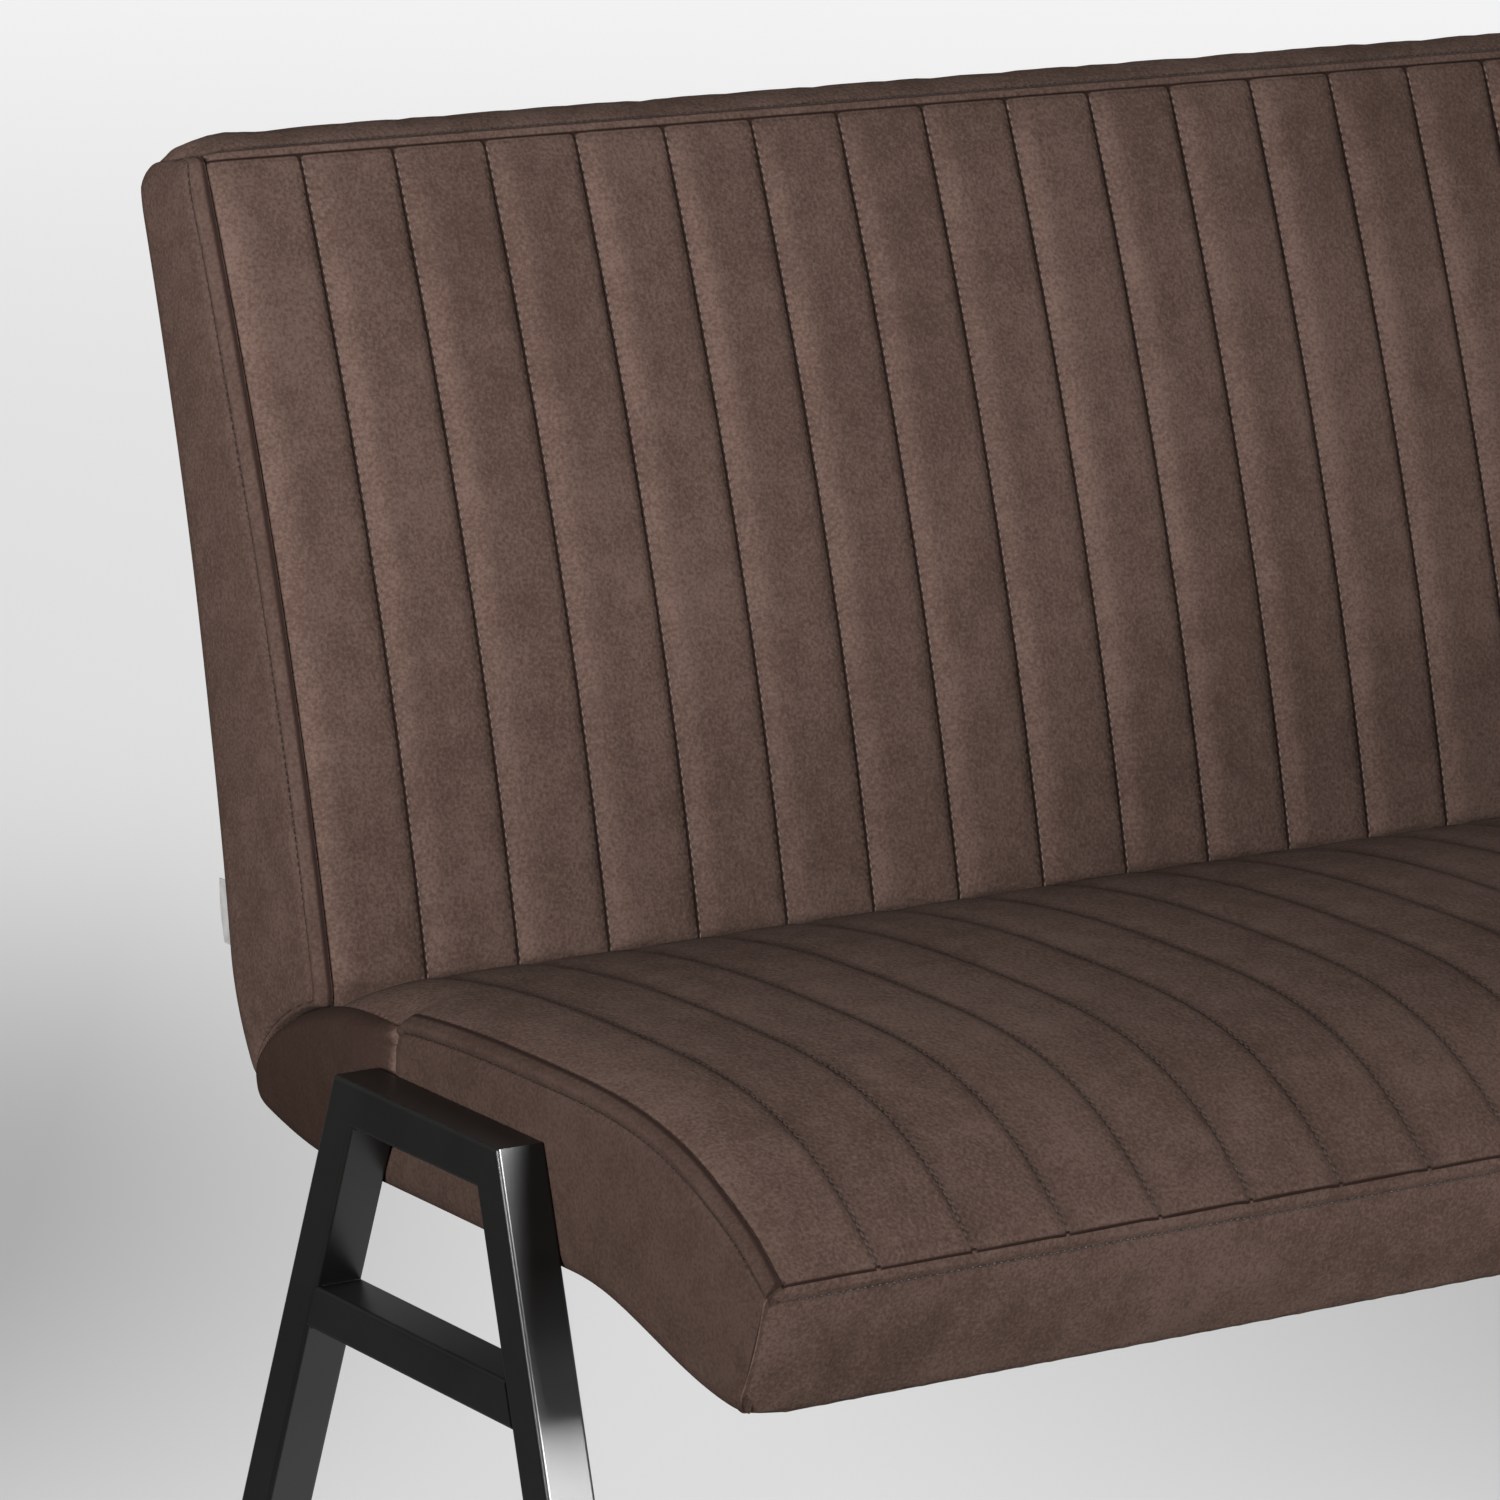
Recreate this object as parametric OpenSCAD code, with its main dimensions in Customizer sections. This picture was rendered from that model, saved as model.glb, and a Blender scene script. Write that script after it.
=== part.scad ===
// Upholstered dining bench with a back, on two A-shaped steel leg frames.
// X runs along the bench, the sitter looks towards -Y, and the floor is z = 0.
// Side profiles are drawn with y and z measured from the middle of a leg frame's top rail.

/* [Overall] */
// Number of sewn channels along the seat and the back
channel_count = 29; // [17:2:33]
// Width of one sewn channel
channel_pitch = 60; // [50:1:70]
// Height of a leg frame, floor to the top of its rail
frame_h = 435; // [400:5:470]

/* [Leg frames] */
// Tube size along the bench
tube_x = 30; // [25:1:40]
// Tube size across its run, seen from the side
tube_w = 25; // [20:1:32]
// Tube wall
tube_wall = 2; // [1.5:0.1:3]
// Outer corner radius of the tube
tube_r = 2.5; // [1:0.1:4]
// Length of the top rail over its outer corners
rail_len = 158; // [140:2:180]
// Lean of each leg from upright, in degrees
leg_lean = 17.8; // [14:0.2:20]
// Top of the crossbar, below the top of the rail
crossbar_drop = 121; // [100:1:150]
// Thickness of a glide under the end of its leg
glide_t = 5; // [3:0.5:10]
// Length of a glide's plug inside the tube
glide_plug = 18; // [10:1:30]
// Clearance between a plug and the inside of its tube
glide_gap = 0.2; // [0.1:0.05:0.5]

/* [Seat profile] */
// Front seam of the seat, in front of the rail's middle
seat_front = 280; // [270:2:300]
// Height of the crown of the seat above the rail
seat_crown = 44; // [38:1:50]
// Place of the crown, in front of the rail's middle
crown_front = 60; // [40:2:90]
// Fall of the rounded nose from the crown to the front seam
nose_drop = 67; // [50:1:75]
// Fall from the crown to the crease under the back
rear_drop = 19; // [14:1:24]
// Underside of the seat below the rail
seat_under = 66; // [62:1:74]
// Fall of the underside towards the front edge
under_drop = 31; // [20:1:36]
// Setback of the front band's lower edge from the front seam
band_tuck = 23; // [14:1:30]
// Seam that runs over the seat's edges, below the channels beside it
edge_drop = 5; // [3:0.5:8]

/* [Rear roll] */
// Rearmost tip of the roll, behind the rail's middle
roll_rear = 206; // [200:1:212]
// Height of the roll's top above the rail, at the end of the seat
roll_top = 23; // [18:1:26]
// Place of the pinched fold, behind the rail's middle
pinch_y = 72; // [66:1:80]
// Width of the pinched fold
pinch_w = 14; // [10:1:20]

/* [Back profile] */
// Crease between seat and back, behind the rail's middle
back_foot = 141; // [136:1:150]
// Top seam of the back above the rail
back_top = 455; // [400:5:480]
// Recline of the back just above the seat, in degrees
recline_foot = 14; // [10:0.5:18]
// Recline of the back at its top seam, in degrees
recline_top = 23.5; // [18:0.5:26]
// Thickness of the back at the crease, front to rear
back_t_foot = 101; // [92:1:110]
// Thickness of the back at its top seam, front to rear
back_t_top = 72; // [66:1:80]
// Rise of the rounded top band over the top seam
top_rise = 9; // [4:1:14]
// Radius of the rear edge of the top
top_corner = 34; // [26:1:40]

/* [Upholstery] */
// Thickness of the channelled covers with their quilting foam
cover_t = 16; // [12:1:20]
// Height of a channel between its seams
channel_rise = 6; // [3:0.5:9]
// Thickness of the foam under the covers
foam_t = 22; // [16:1:28]
// Thickness of the padded side panels and bands at their fullest
side_t = 8; // [6:0.5:12]
// Thickness of the padded front band and top band
band_t = 10; // [8:1:14]
// Thickness of the padded rear cover
rear_t = 7; // [4:0.5:10]
// Thickness of the dust cover
dust_t = 2; // [1:0.5:3]
// Swell of the front band between its seams
band_crown = 3; // [1:0.5:5]
// Drop of the back's channelled cover to its side seams
back_edge_drop = 3; // [1:0.5:6]
// Clearance between soft pieces that lie against each other
soft_gap = 0.3; // [0.2:0.05:0.5]

/* [Inner frame] */
// Thickness of the plywood ribs
rib_t = 18; // [15:1:24]
// Widest distance from one rib to the next
rib_spacing = 450; // [300:10:600]
// Thickness of the timber rails, front to rear
rail_t = 24; // [18:1:26]
// Height of the back's timber rails
rail_h = 45; // [36:1:60]
// Height of the seat's rear rail
rear_rail_h = 30; // [26:1:34]
// Width of an elastic strap
strap_w = 50; // [40:5:60]
// Thickness of an elastic strap
strap_t = 2; // [1.5:0.5:3]
// Least distance from one strap's middle to the next
strap_spacing = 120; // [90:5:160]

/* [Fasteners] */
// Bolt diameter at the leg frames
bolt_d = 8; // [6:1:10]
// Distance of the rail's two bolts from its middle
bolt_y = 38; // [30:1:50]
// Depth of the leg bolts below the top of the rail
leg_bolt_drop = 44; // [38:1:48]
// Washer diameter over the bolt's diameter
washer_over = 14; // [8:1:16]
// Washer thickness
washer_t = 2; // [1:0.5:3]
// Height of a bolt's head
bolt_head_h = 8; // [5:0.5:10]
// Head diameter over the bolt's diameter
bolt_head_over = 5; // [4:0.5:6]
// Length of an insert nut inside the tube
nut_len = 14; // [10:1:18]
// Wall of an insert nut round its bolt
nut_wall = 2; // [1.5:0.1:2.5]
// Frame screw diameter
screw_d = 6; // [5:0.5:7]
// Frame screw length
screw_len = 60; // [50:5:70]
// Clearance round a bolt or screw in its hole
hole_gap = 0.3; // [0.2:0.1:0.8]

/* [Label] */
// Height of the blank label tab
label_h = 35; // [20:1:45]
// Reach of the tab out of its seam
label_out = 10; // [6:1:14]
// Thickness of the folded tab
label_t = 1.2; // [0.8:0.1:2]
// Middle of the tab above the rail
label_z = 44; // [20:2:120]

/* [Hidden] */
// Rows of samples from the front of a cover to its rear or top
rows = 9;
// Powers of the seat's curves in front of and behind its crown
nose_power = 3.3;
tail_power = 2.5;
// Power of the underside's rise to the roll's tip
tip_power = 1.5;
// Spacing power that gathers the seat's rows at its nose
row_power = 1.6;
// Fullness of a channel's section, and places of its samples
channel_power = 0.5;
channel_at = [0, 0.15, 0.5, 0.85];
// Share of a channel's rise that is left at the cover's end seams, and where the full rise begins
end_share = 0.35;
full_rise_at = 0.3;
// Samples across a side panel, from one seam to the other
side_at = [0, 0.06, 0.24, 0.76, 0.94, 1];
side_fullness = [0, 0.6, 1, 1, 0.6, 0];
// Share of a side panel's padding that is left at its end seams
side_end_swell = 0.35;
// Share of a side panel's padding that the pinched fold takes away
pinch_depth = 0.85;
// Curve resolution
$fn = 48;
eps = 0.01;

cushion_len = channel_count * channel_pitch;
half_len = cushion_len / 2;
frame_x = half_len + side_t + soft_gap;
pad_t = cover_t + foam_t;

function clamp01(v) = min(1, max(0, v));
function smooth(v) = let(u = clamp01(v)) u * u * (3 - 2 * u);
function mix(a, b, u) = a + (b - a) * u;

// Crease between seat and back
foot_z = seat_crown - rear_drop;
seat_span = back_foot + crown_front;
nose_span = seat_front - crown_front;

// Height of the channelled seat surface at its seams, and its slope
function seat_line(y) =
    let(
        ahead = clamp01((-crown_front - y) / nose_span),
        behind = max(0, (y + crown_front) / seat_span)
    )
    seat_crown - nose_drop * pow(ahead, nose_power) - rear_drop * pow(behind, tail_power);
function seat_slope(y) =
    y < -crown_front
    ? nose_drop * nose_power * pow((-crown_front - y) / nose_span, nose_power - 1) / nose_span
    : -rear_drop * tail_power * pow((y + crown_front) / seat_span, tail_power - 1) / seat_span;
function seat_normal(y) = let(a = atan(seat_slope(y))) [-sin(a), cos(a)];

// Point on a layer of the seat, its depth measured square to the surface
function seat_row(j) = mix(-seat_front, back_foot - soft_gap, pow(j / rows, row_power));
function seat_at(j, depth) =
    let(y = seat_row(j))
    [y, seat_line(y)] - depth * seat_normal(y);
function seat_layer(depth) = [for (j = [0:rows]) seat_at(j, depth)];

// Underside of the seat: level, falling to the front edge, rising to the roll's tip
roll_tip_z = -51;
roll_mid_y = 100;
under_start = 100;
under_end = 140;
under_front = seat_front - band_tuck;
function under_line(y) =
    let(
        u = clamp01((-under_start - y) / (under_front - under_start)),
        w = clamp01((y - under_end) / (roll_rear - under_end))
    )
    -seat_under - under_drop * (1 - cos(180 * u)) / 2 + (roll_tip_z + seat_under) * pow(w, tip_power);

// Front seam plane of the back: a parabola from one recline to the other
foot_slope = tan(recline_foot);
back_bend = (tan(recline_top) - foot_slope) / (2 * (back_top - foot_z));
function back_line(z) = let(s = z - foot_z) back_foot + foot_slope * s + back_bend * s * max(0, s);
function back_normal(z) =
    let(a = atan(foot_slope + 2 * back_bend * max(0, z - foot_z)))
    [-cos(a), sin(a)];
function back_row(j) = mix(foot_z, back_top, j / rows);
function back_at(z, depth) = [back_line(z), z] - depth * back_normal(z);
function back_layer(depth) = [for (j = [0:rows]) back_at(back_row(j), depth)];

// Rear face of the back, down to the crease's height and then round the heel to the roll's tip
thinning = (back_t_top - back_t_foot) / (back_top - foot_z);
heel_fall = roll_tip_z - foot_z;
heel_slope = foot_slope + thinning;
heel_bend = (back_foot + back_t_foot + heel_slope * heel_fall - roll_rear) / (heel_fall * heel_fall);
function rear_line(z) =
    z > foot_z
    ? back_line(z) + back_t_foot + thinning * (z - foot_z)
    : let(s = z - foot_z) back_foot + back_t_foot + heel_slope * s - heel_bend * s * s;

// Rounded top of the back
top_z = back_top + top_rise;
corner_z = top_z - top_corner;
apex_y = rear_line(corner_z) - top_corner;
function crown_point(u) =
    [mix(back_line(back_top), apex_y, u), back_top + top_rise * sin(90 * u)];
function corner_point(a) = [apex_y + top_corner * cos(a), corner_z + top_corner * sin(a)];

// The bench stands with the middle of its depth over the origin
front_reach = seat_front + channel_rise * end_share * sin(atan(seat_slope(-seat_front)));
mid_shift = (rear_line(corner_z) - front_reach) / 2;

// Roll under the back: a quarter ellipse, from its tip (0 degrees) to its top (90 degrees)
function roll_point(a) =
    [roll_mid_y + (roll_rear - roll_mid_y) * cos(a), roll_tip_z + (roll_top - roll_tip_z) * sin(a)];
function roll_height(y) =
    let(u = clamp01((y - roll_mid_y) / (roll_rear - roll_mid_y)))
    roll_tip_z + (roll_top - roll_tip_z) * sqrt(1 - u * u);

// Seam that ends the channelled cover at the sides of the seat
pinch_reach = 22;
function side_top(y) =
    mix(
        seat_line(y) - edge_drop * smooth((y + seat_front) / channel_pitch),
        min(roll_height(y), seat_line(y) - edge_drop),
        smooth((y - pinch_y + pinch_reach) / pinch_reach)
    );

module placed() translate([0, -mid_shift, frame_h]) children();
module along_bench(from, length) translate([from, 0, 0]) rotate([90, 0, 90])
    linear_extrude(height = length) children();
module on_right() mirror([1, 0, 0]) children();

// Rounded rectangle made of squares and circles
module rounded_rect(w, h, r) {
    square([w - 2 * r, h], center = true);
    square([w, h - 2 * r], center = true);
    for (sx = [-1, 1])
        for (sy = [-1, 1])
            translate([sx * (w / 2 - r), sy * (h / 2 - r)]) circle(r);
}

// Leg frame, drawn for the left end with its inner face on the seat's side panel
steel = "#1c1c1d";
mitre = (90 - leg_lean) / 2;
rail_half = rail_len / 2;
tube_bore_x = tube_x - 2 * tube_wall;
tube_bore_w = tube_w - 2 * tube_wall;
leg_run = frame_h / cos(leg_lean) + tube_w;
tube_mid_x = -frame_x - tube_x / 2;
crossbar_z = -crossbar_drop;
cut_depth = 2 * tube_x;
leg_w = tube_w / cos(leg_lean);
function leg_inner(z) = rail_half - z * tan(leg_lean) - leg_w;
crossbar_stock = 2 * leg_inner(crossbar_z - tube_w) + tube_w;

module tube_section() {
    difference() {
        rounded_rect(tube_x, tube_w, tube_r);
        square([tube_bore_x, tube_bore_w], center = true);
    }
}

// Keeps what lies inside an outline of the side view
module side_cut(points) {
    intersection() {
        children();
        along_bench(tube_mid_x - cut_depth / 2, cut_depth) polygon(points);
    }
}

module run_level(length, top) translate([tube_mid_x, 0, top - tube_w / 2]) rotate([90, 0, 0])
    linear_extrude(height = length, center = true) children();

// Runs a section down a leg: side -1 is the front leg, 1 the rear leg
module run_leg(side) translate([tube_mid_x, side * rail_half, 0]) rotate([side * leg_lean, 0, 0])
    translate([0, -side * tube_w / 2, -leg_run]) linear_extrude(height = leg_run + tube_w) children();

module frame_rail() placed()
    side_cut([
        [-rail_half, 0],
        [rail_half, 0],
        [rail_half - tube_w * tan(mitre), -tube_w],
        [-rail_half + tube_w * tan(mitre), -tube_w]
    ])
    difference() {
        run_level(rail_len + tube_w, 0) tube_section();
        for (side = [-1, 1]) nut_hole(side * bolt_y, -tube_w / 2);
    }

module frame_leg(side) placed()
    side_cut([
        [side * rail_half, 0],
        [side * (rail_half - (frame_h - glide_t) * tan(mitre)), glide_t - frame_h],
        [side * frame_h, glide_t - frame_h],
        [side * frame_h, 0]
    ])
    difference() {
        run_leg(side) tube_section();
        nut_hole(side * leg_bolt_y, -leg_bolt_drop);
    }

module frame_crossbar() placed()
    side_cut([
        [-leg_inner(crossbar_z), crossbar_z],
        [leg_inner(crossbar_z), crossbar_z],
        [leg_inner(crossbar_z - tube_w), crossbar_z - tube_w],
        [-leg_inner(crossbar_z - tube_w), crossbar_z - tube_w]
    ])
    run_level(crossbar_stock, crossbar_z) tube_section();

// Glide: a pad of the leg's outline under its end, with a plug inside the tube
module leg_slice(side, from, height)
    side_cut([
        [0, from],
        [side * frame_h, from],
        [side * frame_h, from + height],
        [0, from + height]
    ])
    run_leg(side) children();

module frame_glide(side) placed() {
    leg_slice(side, -frame_h, glide_t) rounded_rect(tube_x, tube_w, tube_r);
    leg_slice(side, glide_t - frame_h - eps, glide_plug + eps)
        square([tube_bore_x - 2 * glide_gap, tube_bore_w - 2 * glide_gap], center = true);
}

// Bolted joints between a leg frame and its end rib, drawn along X from the frame's inner face
nut_r = bolt_d / 2 + nut_wall;
nut_bulge = 1.5;
key_share = 0.75;
key_d = key_share * bolt_d / cos(30);
grip = frame_x - half_len + rib_t;
leg_bolt_y = leg_inner(-leg_bolt_drop) + leg_w / 2;

module at_frame_face(y, z) translate([-frame_x, y, z]) rotate([0, 90, 0]) children();

module nut_hole(y, z) at_frame_face(y, z) translate([0, 0, -tube_wall - 1])
    cylinder(r = nut_r, h = tube_wall + 2);

module at_bolts() placed()
    for (side = [-1, 1]) {
        at_frame_face(side * bolt_y, -tube_w / 2) children();
        at_frame_face(side * leg_bolt_y, -leg_bolt_drop) children();
    }

module insert_nut() difference() {
    union() {
        translate([0, 0, -nut_len]) cylinder(r = nut_r, h = nut_len);
        translate([0, 0, -tube_wall - nut_bulge]) cylinder(r = nut_r + nut_bulge, h = nut_bulge);
    }
    translate([0, 0, -nut_len - 1]) cylinder(d = bolt_d, h = nut_len + 2);
}

module bolt_washer() translate([0, 0, grip]) difference() {
    cylinder(d = bolt_d + washer_over, h = washer_t);
    translate([0, 0, -1]) cylinder(d = bolt_d + 2 * hole_gap, h = washer_t + 2);
}

module frame_bolt() {
    translate([0, 0, -nut_len]) cylinder(d = bolt_d, h = nut_len + grip + washer_t);
    translate([0, 0, grip + washer_t]) difference() {
        cylinder(d = bolt_d + bolt_head_over, h = bolt_head_h);
        translate([0, 0, bolt_head_h / 2]) cylinder(d = key_d, h = bolt_head_h, $fn = 6);
    }
}

// Inner frame, as outlines of the side view
plywood = "#c9a878";
timber = "#b98d5a";
strap_sink = strap_t + 2 * soft_gap;
rear_in = rear_t + soft_gap;
rear_steps = 20;
under_steps = 20;
tip_inset = 3;
front_seam = [-seat_front, seat_line(-seat_front)];
front_low = [-under_front, under_line(-under_front)];
band_dir = (front_low - front_seam) / norm(front_low - front_seam);
band_out = [band_dir[1], -band_dir[0]];
band_low_in = front_low - band_t * band_out;
front_rail_y = seat_at(0, pad_t)[0] + rail_t;
rear_rail_y = seat_at(rows, pad_t)[0];
rear_rail_z = seat_at(rows, pad_t)[1];
back_rail_depth = pad_t + strap_sink + rail_t;

module rib_outline(sink) polygon(concat(
    seat_layer(pad_t + sink),
    back_layer(pad_t + sink),
    [
        for (i = [0:rear_steps])
            let(z = mix(corner_z, roll_tip_z + tip_inset, i / rear_steps))
            [rear_line(z) - rear_in, z]
    ],
    [
        for (i = [0:under_steps])
            let(y = mix(roll_rear - rear_in - tip_inset, band_low_in[0] + soft_gap, i / under_steps))
            [y, under_line(y) + dust_t + soft_gap]
    ]
));

module front_zone() translate([-seat_front, -frame_h]) square([front_rail_y + seat_front, frame_h]);

module rear_zone() translate([rear_rail_y - rail_t, rear_rail_z - rear_rail_h])
    square([rail_t, 2 * rear_rail_h]);

module back_zone(low, high) polygon([
    back_at(low, 0),
    back_at(high, 0),
    back_at(high, back_rail_depth),
    back_at(low, back_rail_depth)
]);

module lower_zone() back_zone(foot_z, foot_z + rail_h);

module top_zone() back_zone(back_top - rail_h, back_top + rail_h);

// Screws through the end ribs into the ends of the rails
function rail_spots(middle, run) = [for (side = [-1, 1]) middle + side * run];
front_spot = [front_rail_y - rail_t / 2, (seat_at(1, pad_t)[1] + front_low[1]) / 2];
rear_spot = [rear_rail_y - rail_t / 2, rear_rail_z - rear_rail_h / 2];
lower_spot = back_at(foot_z + rail_h / 2, pad_t + strap_sink + rail_t / 2);
top_spot = back_at(back_top - rail_h / 2, pad_t + strap_sink + rail_t / 2 - strap_t);
function back_run(z) = let(n = back_normal(z)) [n[1], -n[0]];
screw_spots = concat(
    rail_spots(front_spot, [0, rail_h / 4]),
    rail_spots(rear_spot, [0, rear_rail_h / 4]),
    rail_spots(lower_spot, back_run(foot_z) * rail_h / 4),
    rail_spots(top_spot, back_run(back_top) * rail_h / 4)
);
screw_head_r = screw_d;
screw_head_h = screw_d / 2;

module at_screws() placed()
    for (spot = screw_spots) translate([-half_len, spot[0], spot[1]]) rotate([0, 90, 0]) children();

module frame_screw(gap) {
    cylinder(d = screw_d + 2 * gap, h = screw_len);
    cylinder(r1 = screw_head_r + gap, r2 = screw_d / 2 + gap, h = screw_head_h);
}

module end_rib() {
    difference() {
        placed() along_bench(-half_len, rib_t) rib_outline(soft_gap);
        at_screws() frame_screw(hole_gap);
        at_bolts() cylinder(d = bolt_d + 2 * hole_gap, h = grip + 1);
    }
}

rib_bays = ceil(cushion_len / rib_spacing);
bay = cushion_len / rib_bays;

module inner_rib(place) placed()
    along_bench(-half_len + place * bay - rib_t / 2, rib_t)
    difference() {
        rib_outline(soft_gap);
        front_zone();
        rear_zone();
        lower_zone();
        top_zone();
    }

module rail_between() difference() {
    placed() along_bench(rib_t - half_len, cushion_len - 2 * rib_t) intersection() {
        rib_outline(strap_sink);
        children();
    }
    at_screws() cylinder(d = screw_d, h = screw_len);
    on_right() at_screws() cylinder(d = screw_d, h = screw_len);
}

// Elastic straps between the ribs
bay_clear = bay - 2 * rib_t;
straps_in_bay = max(1, floor(bay_clear / strap_spacing));

module straps() placed()
    for (b = [0:rib_bays - 1])
        for (i = [0:straps_in_bay - 1])
            along_bench(
                -half_len + b * bay + rib_t + bay_clear * (i + 0.5) / straps_in_bay - strap_w / 2,
                strap_w
            ) children();

function reversed(list) = [for (i = [len(list) - 1:-1:0]) list[i]];

module seat_layers(from, to) polygon(concat(seat_layer(from), reversed(seat_layer(to))));

module back_layers(from, to) polygon(concat(back_layer(from), reversed(back_layer(to))));

// Cover with sewn channels, laid over rows of a side profile. Each row is a point, the normal of the
// surface there, the share of the channels' rise, and how far the cover drops to its end seam.
samples = len(channel_at);
columns = channel_count * samples;
function column_x(i) = channel_pitch * (floor(i / samples) + channel_at[i % samples]) - half_len;
function column_rise(i) = channel_rise * pow(sin(180 * channel_at[i % samples]), channel_power);
function end_reach(x) = let(u = clamp01((half_len - abs(x)) / channel_pitch)) (1 - u) * (1 - u);

module channelled(profile) {
    last = len(profile) - 1;
    function top(i, j) = i * (last + 1) + j;
    left = (columns + 1) * (last + 1);
    right = left + last + 1;
    points = concat(
        [
            for (i = [0:columns])
                for (row = profile)
                    let(at = row[0] + row[1] * column_rise(i) * row[2] - row[3] * end_reach(column_x(i)))
                    [column_x(i), at[0], at[1]]
        ],
        [
            for (x = [-half_len, half_len])
                for (row = profile)
                    let(at = row[0] - row[1] * cover_t)
                    [x, at[0], at[1]]
        ]
    );
    faces = concat(
        [
            for (i = [0:columns - 1])
                for (j = [0:last - 1])
                    each [
                        [top(i, j), top(i + 1, j + 1), top(i + 1, j)],
                        [top(i, j), top(i, j + 1), top(i + 1, j + 1)]
                    ]
        ],
        [
            for (j = [0:last - 1])
                each [
                    [left + j, right + j, right + j + 1],
                    [left + j, right + j + 1, left + j + 1],
                    [top(0, j), left + j, left + j + 1],
                    [top(0, j), left + j + 1, top(0, j + 1)],
                    [top(columns, j), right + j + 1, right + j],
                    [top(columns, j), top(columns, j + 1), right + j + 1]
                ]
        ],
        [
            for (i = [0:columns - 1])
                each [
                    [left, top(i, 0), top(i + 1, 0)],
                    [left + last, top(i + 1, last), top(i, last)]
                ]
        ],
        [[left, top(columns, 0), right], [left + last, right + last, top(columns, last)]]
    );
    polyhedron(points = points, faces = faces);
}

function end_fade(j) = mix(end_share, 1, clamp01(sin(180 * j / rows) / full_rise_at));

seat_profile = [
    for (j = [0:rows])
        let(y = seat_row(j))
        [seat_at(j, 0), seat_normal(y), end_fade(j), [0, seat_line(y) - side_top(y)]]
];
back_profile = [
    for (j = [0:rows])
        let(z = back_row(j))
        [back_at(z, 0), back_normal(z), end_fade(j), back_normal(z) * back_edge_drop * sin(180 * j / rows)]
];

// Padded panel at the right end: a flat inner face and a face that swells between its seams
module padded_panel(lower, upper, swell) {
    last = len(lower) - 1;
    wide = len(side_at) - 1;
    function at(i, k) = i * (wide + 1) + k;
    points = [
        for (i = [0:last])
            for (k = [0:wide])
                let(p = lower[i] + (upper[i] - lower[i]) * side_at[k])
                [half_len + side_t * side_fullness[k] * swell[i], p[0], p[1]]
    ];
    faces = concat(
        [
            for (i = [0:last - 1])
                for (k = [0:wide - 1])
                    each [
                        [at(i, k), at(i + 1, k + 1), at(i + 1, k)],
                        [at(i, k), at(i, k + 1), at(i + 1, k + 1)]
                    ]
        ],
        [
            for (i = [0:last - 1])
                each [
                    [at(i, 0), at(i + 1, 0), at(i + 1, wide)],
                    [at(i, 0), at(i + 1, wide), at(i, wide)]
                ]
        ],
        [
            for (k = [1:wide - 1])
                each [
                    [at(0, 0), at(0, k + 1), at(0, k)],
                    [at(last, 0), at(last, k), at(last, k + 1)]
                ]
        ]
    );
    polyhedron(points = points, faces = faces);
}

// Seams round the seat's side panel, from the front edge to the roll's tip
panel_rows = 16;
roll_rows = 7;
roll_end = 6;
panel_y = [for (i = [0:panel_rows]) mix(-seat_front, roll_mid_y, i / panel_rows)];
panel_top = concat(
    [for (y = panel_y) [y, side_top(y)]],
    [for (i = [1:roll_rows]) roll_point(mix(90, roll_end, i / roll_rows))]
);
panel_last = len(panel_top) - 1;
panel_tip_y = roll_rear - tip_inset;
function panel_share(y) = (y + seat_front) / (panel_top[panel_last][0] + seat_front);
panel_low = [
    for (p = panel_top)
        let(y = mix(-under_front, panel_tip_y, panel_share(p[0])))
        [y, under_line(y)]
];
function pinch(y) = 1 - pinch_depth * exp(-pow((y - pinch_y) / (pinch_w / 2), 2));
panel_swell = [
    for (i = [0:panel_last]) i == 0 || i == panel_last ? side_end_swell : pinch(panel_top[i][0])
];

// Seams round the back's side band, from the roll's tip to the middle of the rounded top
band_rows = 12;
crown_rows = 4;
crease_angle = acos((back_foot - roll_mid_y) / (roll_rear - roll_mid_y));
heel_from = roll_tip_z + 1;
heel_to = foot_z - 8;
band_front = concat(
    [for (i = [0:roll_rows]) roll_point(mix(roll_end, crease_angle, i / roll_rows))],
    [for (i = [0:band_rows]) let(z = mix(foot_z, back_top, i / band_rows)) [back_line(z), z]],
    [for (i = [1:crown_rows]) crown_point(i / (crown_rows + 1))]
);
band_rear = concat(
    [for (i = [0:roll_rows]) let(z = mix(heel_from, heel_to, i / roll_rows)) [rear_line(z), z]],
    [for (i = [0:band_rows]) let(z = mix(foot_z, corner_z, i / band_rows)) [rear_line(z), z]],
    [for (i = [1:crown_rows]) corner_point(90 * i / (crown_rows + 1))]
);
band_last = len(band_front) - 1;
band_swell = [for (i = [0:band_last]) i == 0 || i == band_last ? side_end_swell : 1];

module seat_side_panel() difference() {
    placed() padded_panel(panel_low, panel_top, panel_swell);
    on_right() at_bolts() cylinder(d = bolt_d + 2 * hole_gap, h = grip);
}

module back_side_band() placed() padded_panel(band_rear, band_front, band_swell);

// Plain bands and covers that run along the bench
crown_steps = 6;
module front_band_outline() polygon(concat(
    [
        for (i = [0:crown_steps])
            let(u = i / crown_steps)
            mix(front_seam, front_low, u) + band_out * band_crown * sin(180 * u)
    ],
    [band_low_in, seat_at(0, pad_t)]
));

module top_band_outline() polygon(concat(
    [for (i = [0:crown_steps]) crown_point(i / crown_steps)],
    [for (i = [crown_steps - 1:-1:0]) corner_point(90 * i / crown_steps)],
    [[rear_line(corner_z) - rear_t, corner_z], back_at(back_top, pad_t)]
));

rear_levels = [for (i = [0:rear_steps]) mix(corner_z, roll_tip_z, i / rear_steps)];
module rear_cover_outline() polygon(concat(
    [for (z = rear_levels) [rear_line(z), z]],
    reversed([for (z = rear_levels) [rear_line(z) - rear_t, z]])
));

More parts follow.
